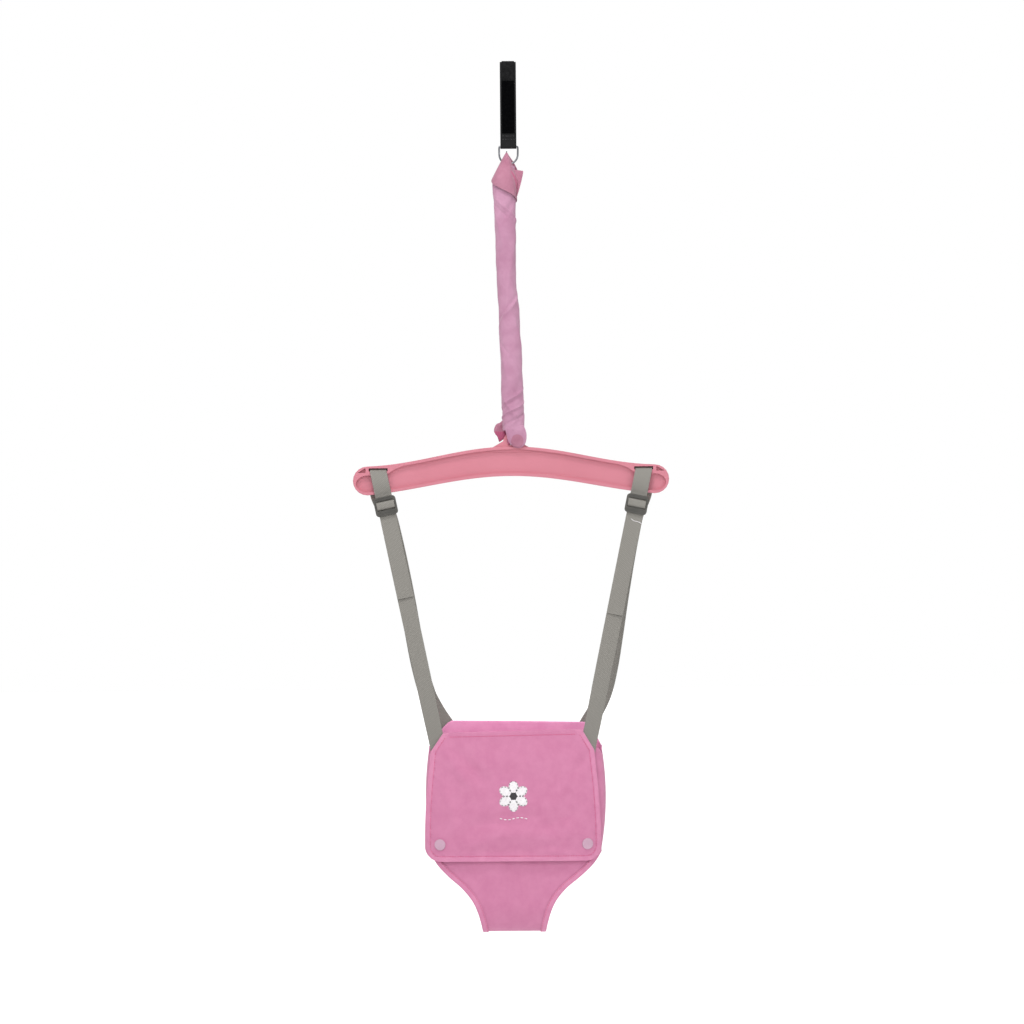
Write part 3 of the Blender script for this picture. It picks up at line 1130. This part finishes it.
for side, word in SIDES:
    line, across, width = front_of_tape(side)
    piece = tape(f"threaded_strand_{word}", line, across, width, WEB_THICK, grey_webbing, step=1.2)
    bend_piece(piece, ("hanger", "straps"), (-622, -652), "grey_webbing", f"adjuster_webbing_{word}")
thread_line = []
for x, z in ((181.8, -693.4), (186.0, -696.6), (192.0, -698.2), (198.5, -701.6)):
    fall = (lip_level - z) / math.cos(front_lean)
    share = (fall - SLIDER_FALL - SLIDER_HEIGHT / 2) / TAILS[1]
    thread_line.append((x, tail_y(1, share) - WEB_THICK / 2 - 0.2, z))
place_piece(wire("loose_white_thread", smooth_line(thread_line, 1.0), 0.4, white_thread, sides=8), "straps",
            "grey_webbing")
print("adjusters threaded")

# %% Front straps
def loop_route():
    """The front strap round the middle bar and back on itself, as (distance behind, rise)."""
    inner = behind_tail - WEB_THICK - GAP
    upper, lower = bar_top + above_lip, bar_low - above_lip
    return [
        (behind_tail, -SLIDER_HEIGHT / 2), (behind_tail, bar_low - CENTRE_BAR / 2),
        (behind_tail * 0.92, bar_low + CENTRE_BAR / 3), (behind_tail * 0.63, bar_top),
        (behind_tail * 0.28, upper),
        (-behind_tail * 0.21, upper), (-behind_bar * 0.97, upper - WEB_THICK / 2),
        (-behind_bar * 1.1, bar_top - WEB_THICK / 2), (-behind_bar * 1.1, bar_low + WEB_THICK / 2),
        (-behind_bar, bar_low - GAP), (-behind_bar * 0.4, lower), (behind_bar * 0.47, lower - WEB_THICK / 8),
        (behind_bar * 1.18, lower - 0.9 * WEB_THICK), (inner, lower - 2.4 * WEB_THICK),
        (inner, lower - 3.4 * WEB_THICK), (inner, -SLIDER_HEIGHT / 2),
    ]


def front_strap(side):
    line, across = [], []
    for t in (1, 2 / 3, 1 / 3, 0):
        x, _, z = front_point(side, panel_fall + SEWN_RUN * t, 0)
        probe = WEB_WIDTH / 4
        slope = (strap_on_panel(abs(x) + probe, z) - strap_on_panel(abs(x) - probe, z)) / (2 * probe)
        line.append((x, strap_on_panel(abs(x), z), z))
        across.append((leaning(side)[0], slope * side, leaning(side)[2]))
    last_slope = across[-1][1]
    top = SLIDER_FALL + SLIDER_HEIGHT / 2
    for t in np.arange(1, 8) / 8:
        fall = panel_fall + (top - panel_fall) * t
        line.append(front_point(side, fall, front_y(fall)))
        across.append((leaning(side)[0], last_slope * (1 - t) ** 2, leaning(side)[2]))
    width = [WEB_WIDTH] * len(line)
    for y, rise in loop_route():
        line.append(front_point(side, SLIDER_FALL - rise, slider_plane + y))
        across.append(leaning(side))
        width.append(WEB_WIDTH + in_slider(rise))
    tip_fall = top + 24 - SLIDER_HEIGHT / 2
    line.append(front_point(side, tip_fall, front_y(tip_fall) - WEB_THICK - GAP))
    across.append(leaning(side))
    return line, across, width + [WEB_WIDTH]


for side, word in SIDES:
    line, across, width = front_strap(side)
    piece = tape(f"front_tape_{word}", line, across, width, WEB_THICK, grey_webbing, step=1.5)
    bend_piece(piece, ("straps", "seat"), (-970, -1018), "grey_webbing", f"front_strap_{word}")
print("front straps made")

# %% [markdown]
# The seat is two cotton panels joined at the sides and between the legs, with bound leg openings. Each
# panel is one sheet over a grid that is squeezed to the panel's outline. Soft folds and a little slack
# are added as heights, because a hanging seat is held only at its corners and its cloth buckles between
# them.

# %% Outline of the panels
FRONT_TOP, FRONT_TOP_HALF, FRONT_CORNER = -1020.0, 104.0, 28.0
BACK_TOP, BACK_TOP_HALF, BACK_CORNER = -1003.3, 93.0, 34.0
LEG_TOP, CROTCH_HALF = -1195.0, 46.5
LEG_HEIGHTS = [0, 0.15, 0.3, 0.45, 0.6, 0.75, 0.9, 1]
LEG_WIDTHS = [1, 0.866, 0.648, 0.385, 0.198, 0.093, 0.03, 0]
SEAT_THICK, PANEL_COLUMNS = 2.2, 110


def panel_edge(z, top, top_half, corner):
    """Half the panel's width at a height."""
    z = np.asarray(z, float)
    corner_share = np.clip((top - z) / corner, 0, 1)
    upper_edge = top_half + (seat_half_width(top - corner) - top_half) * corner_share**0.8
    leg_share = np.clip((LEG_TOP - z) / (LEG_TOP - CROTCH), 0, 1)
    leg_spread = between(LEG_HEIGHTS, LEG_WIDTHS, leg_share)
    leg_edge = CROTCH_HALF + (seat_half_width(LEG_TOP) - CROTCH_HALF) * leg_spread
    return np.where(z > top - corner, upper_edge, np.where(z < LEG_TOP, leg_edge, seat_half_width(z)))


def seat_softness(x, z, seed):
    """Slack and soft folds of the hanging cloth, in millimetres out from the panel."""
    waves = (0.55 * np.sin(x / 31 + z / 47 + seed) + 0.4 * np.sin(x / 19 - z / 33 + 2 * seed)
             + 0.25 * np.sin(x / 11 + z / 14 + 3 * seed))
    edge = np.clip((seat_half_width(z) - np.abs(x)) / 25, 0, 1) * np.clip((z - CROTCH) / 40, 0, 1)
    return waves * edge


def hang_crooked(x, z, top, left, right, lift):
    """Widens the panel's upper corners left and right, draws its left side in, and lifts its top edge."""
    side = np.clip((z - bend_top) / (LEG_TOP - bend_top), 0, 1)
    near_top = np.clip((z - top + 40) / 40, 0, 1) ** 1.5
    scale = np.where(x < 0, 1 - 0.04 * side + left * near_top, 1 + 0.012 * side + right * near_top)
    return x * scale, z + (lift[0] + lift[1] * x) * near_top


def panel_grid(face, top, top_half, corner, seed, left, right, lift):
    rows = np.concatenate([
        np.linspace(top, top - corner, 16)[:-1], np.linspace(top - corner, LEG_TOP, 70)[:-1],
        LEG_TOP + (bend_top - LEG_TOP) * np.linspace(0, 1, 40)[:-1] ** 1.3,
        bend_top - (CROTCH_BEND - 1.2) * np.sin(np.pi / 2 * np.linspace(0, 1, 26))])[:, None]
    share = np.minimum(panel_edge(rows, top, top_half, corner) / seat_half_width(rows), 1)
    reach = np.arcsin(share**2)
    turn = reach * np.linspace(-1, 1, PANEL_COLUMNS)[None]
    x = seat_half_width(rows) * np.sign(turn) * np.sqrt(np.abs(np.sin(turn)))
    y = seat_depth(rows) * np.sqrt(np.cos(turn)) + SEAM / 2
    y = y - np.minimum(seat_softness(x, rows, seed) + 0.5, 1.5) * np.clip(y / 12, 0, 1) * 0.8
    x, z = hang_crooked(x, rows + 0 * turn, top, left, right, lift)
    return np.stack([x, face * y, z], -1)


front_grid = panel_grid(-1, FRONT_TOP, FRONT_TOP_HALF, FRONT_CORNER, 0.4, 0, 0, (0, 0))
back_grid = panel_grid(1, BACK_TOP, BACK_TOP_HALF, BACK_CORNER, 1.7, 0.05, 0.16, (2.6, -0.018))
seat_front = cloth_sheet("seat_front_panel", front_grid, SEAT_THICK, seat_cloth, (0, -1, 0))
seat_back = cloth_sheet("seat_back_panel", back_grid, SEAT_THICK, seat_cloth, (0, 1, 0))
seat_back.data.materials.append(seat_lining)
for polygon in seat_back.data.polygons:
    polygon.material_index = int(polygon.normal.y < 0)
place_piece(seat_front, "seat", "seat_cloth", "seat_front")
place_piece(seat_back, "seat", "seat_cloth", "seat_back")
print("panels:", len(seat_front.data.vertices), len(seat_back.data.vertices))

# %% [markdown]
# The front flap hangs over the tapes' sewn ends and is snapped at its lower corners. Pulled between its
# seam and two snaps, it has the folds that catch the eye in a picture, so they are placed one by one:
# each is a long soft ridge or hollow with its own place, direction and height.

# %% Flap
FLAP_TOP, FLAP_BOTTOM, FLAP_OUT, FLAP_THICK = -1018.5, -1210.5, 6.0, 1.8
FLAP_TOP_HALF, FLAP_DIAGONAL_HALF, FLAP_DIAGONAL, FLAP_HALF, FLAP_ROUND = 105.6, 124.6, 26.0, 133.7, 23.0
SNAP_X, SNAP_Z = 109.8, -1184.3
HEM = 7.6
# Each fold: middle x, middle z, direction in degrees, half length, half width, height
FLAP_FOLDS = [
    (-78, -1078, -52, 34, 9, 1.5), (-60, -1072, -50, 30, 9, -1.4), (-98, -1120, -75, 34, 8, 0.9),
    (-20, -1150, 8, 60, 12, -1.5), (30, -1172, -6, 62, 11, 1.5), (-40, -1178, 14, 40, 9, 1.0),
    (78, -1096, 62, 40, 10, 1.1), (94, -1072, 50, 28, 8, -1.2), (70, -1150, 25, 34, 10, -1.0),
    (0, -1060, 4, 70, 15, 0.7), (16, -1118, -30, 40, 13, 0.7), (-84, -1160, 40, 26, 8, 1.0),
    (88, -1168, -38, 24, 8, 0.9), (-10, -1196, 2, 60, 7, -0.8), (55, -1196, -8, 22, 6, 0.8),
]


def folds_at(x, z, folds):
    total = np.zeros(np.broadcast(x, z).shape)
    for middle_x, middle_z, way, length, width, size in folds:
        c, s = math.cos(math.radians(way)), math.sin(math.radians(way))
        along, aside = (x - middle_x) * c + (z - middle_z) * s, (z - middle_z) * c - (x - middle_x) * s
        total += size * np.exp(-(along / length) ** 2 - (aside / width) ** 2)
    return total


def flap_half(z):
    fall = FLAP_TOP - np.asarray(z, float)
    side = np.clip((fall - FLAP_DIAGONAL) / (FLAP_TOP - FLAP_BOTTOM - FLAP_DIAGONAL), 0, 1)
    full = (FLAP_DIAGONAL_HALF
            + (FLAP_HALF - FLAP_DIAGONAL_HALF) * np.sin(np.pi * np.minimum(side * 1.25, 1) / 2))
    full = np.where(fall < FLAP_DIAGONAL,
                    FLAP_TOP_HALF + (FLAP_DIAGONAL_HALF - FLAP_TOP_HALF) * fall / FLAP_DIAGONAL, full)
    rise = np.clip(FLAP_ROUND - (z - FLAP_BOTTOM), 0, FLAP_ROUND)
    return full - FLAP_ROUND + np.sqrt(FLAP_ROUND**2 - rise**2)


def flap_y(x, z):
    """The flap's middle surface, with its folds, which fade out at the seam and at the snaps."""
    base = -seat_reach(x, z, FLAP_OUT) - SEAM / 2
    near_snap = np.exp(-(((np.abs(x) - SNAP_X) / 16) ** 2 + ((z - SNAP_Z) / 16) ** 2))
    fade = np.clip((FLAP_TOP - z) / 18, 0, 1) * (1 - near_snap)
    soft = 2.3 * folds_at(x, z, FLAP_FOLDS) + 0.22 * np.sin(x / 9 + z / 13) + 0.15 * np.sin(x / 5 - z / 7)
    return base - np.clip(soft, -2.6, 5.0) * fade


def flap_hang(x, z):
    """Where a point of the flap's pattern hangs.
    The top edge stands above its seam, and the right side is drawn in."""
    top = np.clip((z - FLAP_TOP + 30) / 30, 0, 1)
    return x * np.where(x > 0, 0.984, 1), z + (4.3 + 0.02 * x) * top


def flap_point(x, z, out=0.0):
    """A point out millimetres in front of the flap's middle surface, and the way it faces."""
    x, z = flap_hang(*np.broadcast_arrays(np.asarray(x, float), np.asarray(z, float)))
    step = 0.5
    slope_x = (flap_y(x + step, z) - flap_y(x - step, z)) / (2 * step)
    slope_z = (flap_y(x, z + step) - flap_y(x, z - step)) / (2 * step)
    normal = unit(np.stack([slope_x, -np.ones_like(slope_x), slope_z], -1))
    return np.stack([x, flap_y(x, z), z], -1) + normal * np.asarray(out)[..., None], normal


def flap_grid():
    rows = np.concatenate([
        np.linspace(FLAP_TOP, FLAP_TOP - FLAP_DIAGONAL, 14)[:-1],
        np.linspace(FLAP_TOP - FLAP_DIAGONAL, FLAP_BOTTOM + FLAP_ROUND, 80)[:-1],
        FLAP_BOTTOM + FLAP_ROUND * (1 - np.sin(np.pi / 2 * np.linspace(0, 1, 22)))])[:, None]
    wide = seat_half_width(rows) + FLAP_OUT
    turn = np.arcsin((flap_half(rows) / wide) ** 2) * np.linspace(-1, 1, 120)[None]
    x = wide * np.sign(turn) * np.sqrt(np.abs(np.sin(turn)))
    z = rows + 0 * x
    edge = np.minimum(flap_half(z) - np.abs(x), z - FLAP_BOTTOM)
    return x, z, edge


flap_x, flap_z, flap_edge = flap_grid()
pucker = 0.3 * np.sin((flap_z + flap_x) / 2.1) * np.exp(-((flap_edge - HEM) / 3.0) ** 2)
hem_lift = (0.45 / (1 + np.exp((flap_edge - HEM - 0.6) / 0.5)) + pucker
            - 0.35 * np.exp(-((flap_edge - HEM) / 1.1) ** 2))
flap_middle = flap_point(flap_x, flap_z)[0]
flap = cloth_sheet("front_flap_cloth", flap_middle, FLAP_THICK, seat_cloth, (0, -1, 0), lift=hem_lift)
flap.data.materials.append(hem_cloth)
for polygon in flap.data.polygons:
    x, _, z = polygon.center / MM
    if min(float(flap_half(z)) - abs(x), z - FLAP_BOTTOM) < HEM:
        polygon.material_index = 1
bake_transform(flap)
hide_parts("front_flap")
print("flap:", len(flap.data.vertices), "points")

# %% Flap stitches
def flap_seam(name, x, z, body="flap"):
    spots, normals = flap_point(x, z, FLAP_THICK / 2 + 0.05)
    row = stitches(name, spots, normals, pink_thread, radius=0.42)
    if body == "flap":
        place_piece(row, "flap", "seat_cloth")
    else:
        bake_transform(row)
    return row


side_z = np.linspace(FLAP_TOP - FLAP_DIAGONAL - 6, FLAP_BOTTOM + FLAP_ROUND, 60)
turn = np.linspace(0, np.pi / 2, 14)[1:]
inner_round = FLAP_ROUND - HEM
corner_x = flap_half(FLAP_BOTTOM + FLAP_ROUND) - FLAP_ROUND + inner_round * np.cos(turn)
corner_z = FLAP_BOTTOM + FLAP_ROUND - inner_round * np.sin(turn)
bottom_x = np.linspace(corner_x[-1], -corner_x[-1], 80)[1:-1]
seam_x = np.concatenate([flap_half(side_z) - HEM, corner_x, bottom_x, -corner_x[::-1],
                         -(flap_half(side_z[::-1]) - HEM)])
seam_z = np.concatenate([side_z, corner_z, np.full(78, corner_z[-1]), corner_z[::-1], side_z[::-1]])
flap_seam("flap_hem_stitches", seam_x, seam_z)
for side, word in SIDES:
    diagonal_z = np.linspace(FLAP_TOP - 6, FLAP_TOP - FLAP_DIAGONAL - 5, 14)
    flap_seam(f"flap_corner_stitches_{word}", side * (flap_half(diagonal_z) - HEM), diagonal_z, "both")
flap_seam("flap_top_stitches", np.linspace(-96, 96, 60), np.full(60, FLAP_TOP - 5.5), "both")

# %% [markdown]
# The leg openings are bound with a folded tape. A binding is a thin layer that goes over the edge, so its
# section is an open U swept along the panels' edges, with its inner edge stitched down.

# %% Leg bindings
BIND_WIDTH, BIND_THICK = 7.5, 0.9


def edge_frames(grid, face, side):
    """Points along one edge of a panel below the leg's top.
    With them come the ways out of the cloth and into the panel."""
    rows = grid[:, 0 if side < 0 else -1, 2] < LEG_TOP - 0.8
    column, inner = (0, 4) if side < 0 else (-1, -5)
    edge = grid[rows, column]
    normals = grid_normals(grid)[rows, column]
    if np.mean(normals[: len(normals) // 2, 1]) * face < 0:
        normals = -normals
    along = unit(np.gradient(edge, axis=0))
    into = unit(np.cross(along, normals))
    toward = grid[rows, inner] - edge
    into = into * np.where(np.sum(into * toward, 1, keepdims=True) < 0, -1, 1)
    return edge, normals, into


def binding(side, word):
    front = edge_frames(front_grid, -1, side)
    back = edge_frames(back_grid, 1, side)
    edge, outward, into = (np.vstack([f, b[::-1]]) for f, b in zip(front, back))
    edge = (edge + np.roll(edge, 1, 0) + np.roll(edge, -1, 0)) / 3
    outward = unit(outward + np.roll(outward, 1, 0) + np.roll(outward, -1, 0))
    into = unit(into + np.roll(into, 1, 0) + np.roll(into, -1, 0))
    fold = SEAT_THICK / 2 + 0.5
    section = []
    for grow, order in ((BIND_THICK, 1), (0, -1)):
        layer = [(BIND_WIDTH, fold + grow * 0.6), (BIND_WIDTH * 0.8, fold + grow), (2, fold + grow)]
        layer += [(0.3 - (0.9 + grow) * math.sin(a), (fold + grow) * math.cos(a))
                  for a in np.linspace(0, np.pi, 9)]
        layer += [(2, -fold - grow), (BIND_WIDTH * 0.8, -fold - grow), (BIND_WIDTH, -fold - grow * 0.6)]
        section += layer[::order]
    section = np.array(section)
    points = (edge[:, None] + into[:, None] * section[None, :, :1] + outward[:, None] * section[None, :, 1:])
    obj = solid(f"leg_binding_tape_{word}", points.reshape(-1, 3),
                ring_faces(len(edge), len(section), closed=True), hem_cloth, smooth_angle=70)
    place_piece(obj, "seat", "binding_cloth", f"leg_binding_{word}")
    seam = edge + into * (BIND_WIDTH - 1.2) + outward * (fold + BIND_THICK * 0.75)
    row = stitches(f"leg_binding_stitches_{word}", seam, outward, pink_thread, radius=0.4)
    place_piece(row, "seat", "binding_cloth")


for side, word in SIDES:
    binding(side, word)

# %% Snaps
step = 0.6
slope_x = (seat_reach(SNAP_X + step, SNAP_Z) - seat_reach(SNAP_X - step, SNAP_Z)) / (2 * step)
slope_z = (seat_reach(SNAP_X, SNAP_Z + step) - seat_reach(SNAP_X, SNAP_Z - step)) / (2 * step)
snap_normal = unit(np.array([-slope_x, -1, -slope_z]))
snap_foot = np.array([SNAP_X, -seat_reach(SNAP_X, SNAP_Z) - SEAM / 2, SNAP_Z])
near, far = 0.0, 24.0
for _ in range(40):
    middle = (near + far) / 2
    probe = snap_foot + snap_normal * middle
    inside = -probe[1] < seat_reach(probe[0], probe[2], FLAP_OUT)
    near, far = (middle, far) if inside else (near, middle)
flap_distance = near
cap_height, socket_height = flap_distance + 1.3, flap_distance - 1 - 0.4 - 1.6
stud_height, back_height = 1.5, -1.6
cap_post, back_post = cap_height - socket_height - 1.1, stud_height + 1.8 - 0.3 - back_height
CAP = [
    (0.01, -cap_post), (1.4, -cap_post), (1.4, 0), (8.2, 0), (8.55, 0.25), (8.6, 0.6), (8.35, 1.1),
    (7.9, 1.5), (7.2, 1.75), (6.6, 1.7), (6.2, 1.55), (5.8, 1.6), (3.0, 1.85), (0.01, 1.95),
]
SOCKET = [
    (1.9, 1.6), (1.9, 0.8), (3.4, 0.8), (3.4, 0), (5.6, 0), (5.8, 0.3), (5.8, 1.3), (5.6, 1.6),
    (1.9, 1.6),
]
STUD = [
    (1.9, 0), (5.6, 0), (5.8, 0.35), (5.6, 0.7), (2.9, 0.7), (2.7, 1.2), (2.9, 1.55), (2.6, 1.8),
    (1.9, 1.8), (1.9, 0),
]
BACK = [
    (0.01, back_post), (1.4, back_post), (1.4, 0), (5.6, 0), (5.8, -0.6), (5.2, -1.5), (4, -1.9),
    (0.01, -2),
]
for side, word in SIDES:
    mirror = np.array([side, 1, 1])
    for part, profile, height, body in (
            ("cap", CAP, cap_height, "flap"), ("socket", SOCKET, socket_height, "flap"),
            ("stud", STUD, stud_height, "seat"), ("back", BACK, back_height, "seat")):
        spot = (snap_foot + snap_normal * height) * mirror
        piece = turned(f"snap_{part}_{word}_piece", profile, spot, snap_normal * mirror, snap_plastic)
        place_piece(piece, body, "snap_plastic", f"snap_{part}_{word}")
print("snaps set", round(flap_distance, 2), "mm apart")

# %% [markdown]
# A small embroidered flower with a row of running stitches below it is the flap's only ornament. It is a
# patch of satin stitch, so it is made of thread: a thin pad for each petal, ringed with dark stitches,
# all on the flap's own surface.

# %% Embroidered flower
FLOWER_X, FLOWER_Z = 0.0, -1112.0
PETALS, PETAL_REACH, PETAL_LENGTH, PETAL_WIDTH, FLOWER_EYE = 6, 13.6, 10.2, 7.6, 5.6


def pad(name, middle, way, length, width, height, material):
    """A low cushion of thread on the flap, an ellipse seen from the front."""
    rings = []
    angle = round_angles(36)
    for share, rise in ((1.0, 0.0), (0.97, 0.5), (0.85, 0.85), (0.5, 1.0), (0.02, 1.05)):
        a, b = length * share * np.cos(angle), width * share * np.sin(angle)
        x = middle[0] + a * math.cos(way) - b * math.sin(way)
        z = middle[1] + a * math.sin(way) + b * math.cos(way)
        rings.append(flap_point(x, z, FLAP_THICK / 2 + 0.02 + height * rise)[0])
    cushion = solid(name, np.vstack(rings), ring_faces(5, 36), material, smooth_angle=80)
    return place_piece(cushion, "flap", "seat_cloth")


for number in range(PETALS):
    way = math.pi / 2 + 2 * math.pi * number / PETALS
    middle = (FLOWER_X + PETAL_REACH * math.cos(way), FLOWER_Z + PETAL_REACH * math.sin(way))
    pad(f"flower_petal_{number}", middle, way, PETAL_LENGTH, PETAL_WIDTH, 0.5, white_thread)
    round_angle = np.linspace(0, 2 * math.pi, 40)
    a, b = (PETAL_LENGTH - 0.9) * np.cos(round_angle), (PETAL_WIDTH - 0.9) * np.sin(round_angle)
    spots, normals = flap_point(middle[0] + a * math.cos(way) - b * math.sin(way),
                                middle[1] + a * math.sin(way) + b * math.cos(way), FLAP_THICK / 2 + 0.5)
    outline = stitches(f"flower_outline_{number}", spots, normals, dark_thread, 3.0, 1.8, 0.42)
    place_piece(outline, "flap", "seat_cloth")
pad("flower_eye", (FLOWER_X, FLOWER_Z), 0, FLOWER_EYE, FLOWER_EYE, 0.9, dark_thread)
row_x = np.linspace(-24, 24, 40)
spots, normals = flap_point(row_x, FLOWER_Z - 34.0 + 1.6 * np.sin(row_x / 6), FLAP_THICK / 2 + 0.2)
running = stitches("flower_running_stitch", spots, normals, white_thread, 4.2, 2.2, 0.75)
place_piece(running, "flap", "seat_cloth")
print("flower sewn")


# %% [markdown]
# The studio is a white room: a floor below the jumper and white all round for the camera, with broad soft
# lamps. The white of the background is the world's colour for camera and mirror rays only, so it adds no
# light.

# %% Studio
WORLD_LIGHT, WORLD_TILT = 0.465, 0.37
world = bpy.data.worlds.new("studio")
bpy.context.scene.world = world
world.use_nodes = True
tree = world.node_tree
background = tree.nodes["Background"]
background.inputs["Color"].default_value = (1, 1, 1, 1)
white = tree.nodes.new("ShaderNodeBackground")
white.inputs["Color"].default_value = (1, 1, 1, 1)
white.inputs["Strength"].default_value = 1.0
way = tree.nodes.new("ShaderNodeSeparateXYZ")
tree.links.new(tree.nodes.new("ShaderNodeTexCoord").outputs["Generated"], way.inputs[0])
sky = math_node(tree, "MULTIPLY_ADD", way.outputs["Z"], WORLD_TILT, WORLD_LIGHT)
tree.links.new(sky, background.inputs["Strength"])
mixer = tree.nodes.new("ShaderNodeMixShader")
tree.links.new(camera_sees(tree), mixer.inputs[0])
tree.links.new(background.outputs[0], mixer.inputs[1])
tree.links.new(white.outputs[0], mixer.inputs[2])
tree.links.new(mixer.outputs[0], tree.nodes["World Output"].inputs["Surface"])

FLOOR_LEVEL, FLOOR_HALF, FLOOR_WHITE = -1850.0, 40000.0, 0.6
floor_material = bpy.data.materials.new("studio_floor")
floor_material.use_nodes = True
tree = floor_material.node_tree
floor_shader = tree.nodes["Principled BSDF"]
floor_shader.inputs["Base Color"].default_value = (0.9, 0.9, 0.9, 1)
floor_shader.inputs["Roughness"].default_value = 0.9
floor_shader.inputs["Emission Color"].default_value = (1, 1, 1, 1)
glow = math_node(tree, "MULTIPLY", camera_sees(tree), FLOOR_WHITE)
tree.links.new(glow, floor_shader.inputs["Emission Strength"])
floor_points = [(-FLOOR_HALF, -FLOOR_HALF, FLOOR_LEVEL), (FLOOR_HALF, -FLOOR_HALF, FLOOR_LEVEL),
                (FLOOR_HALF, FLOOR_HALF, FLOOR_LEVEL), (-FLOOR_HALF, FLOOR_HALF, FLOOR_LEVEL)]
floor = solid("studio_floor", floor_points, [(0, 1, 2, 3)], floor_material)


def lamp(name, spot, target, size, power):
    """A broad square lamp that looks at a target. Places are in millimetres."""
    data = bpy.data.lights.new(name, "AREA")
    data.shape, data.size, data.energy = "SQUARE", size * MM, power
    obj = bpy.data.objects.new(name, data)
    bpy.context.collection.objects.link(obj)
    obj.location = Vector(spot) * MM
    obj.rotation_euler = (Vector(target) - Vector(spot)).to_track_quat("-Z", "Y").to_euler()
    return obj


# Name, place, the height it looks at, size and power
for name, spot, height, size, power in (
        ("key_lamp", (-600, -2400, 500), -650, 900, 13.8),
        ("top_lamp", (-300, -1000, 1000), -650, 500, 12.8),
        ("fill_lamp", (1500, -2600, -500), -700, 1800, 13),
        ("back_lamp", (300, 2200, 600), -700, 1600, 22)):
    lamp(name, spot, (0, 0, height), size, power)
bpy.context.scene.view_settings.view_transform = "Standard"
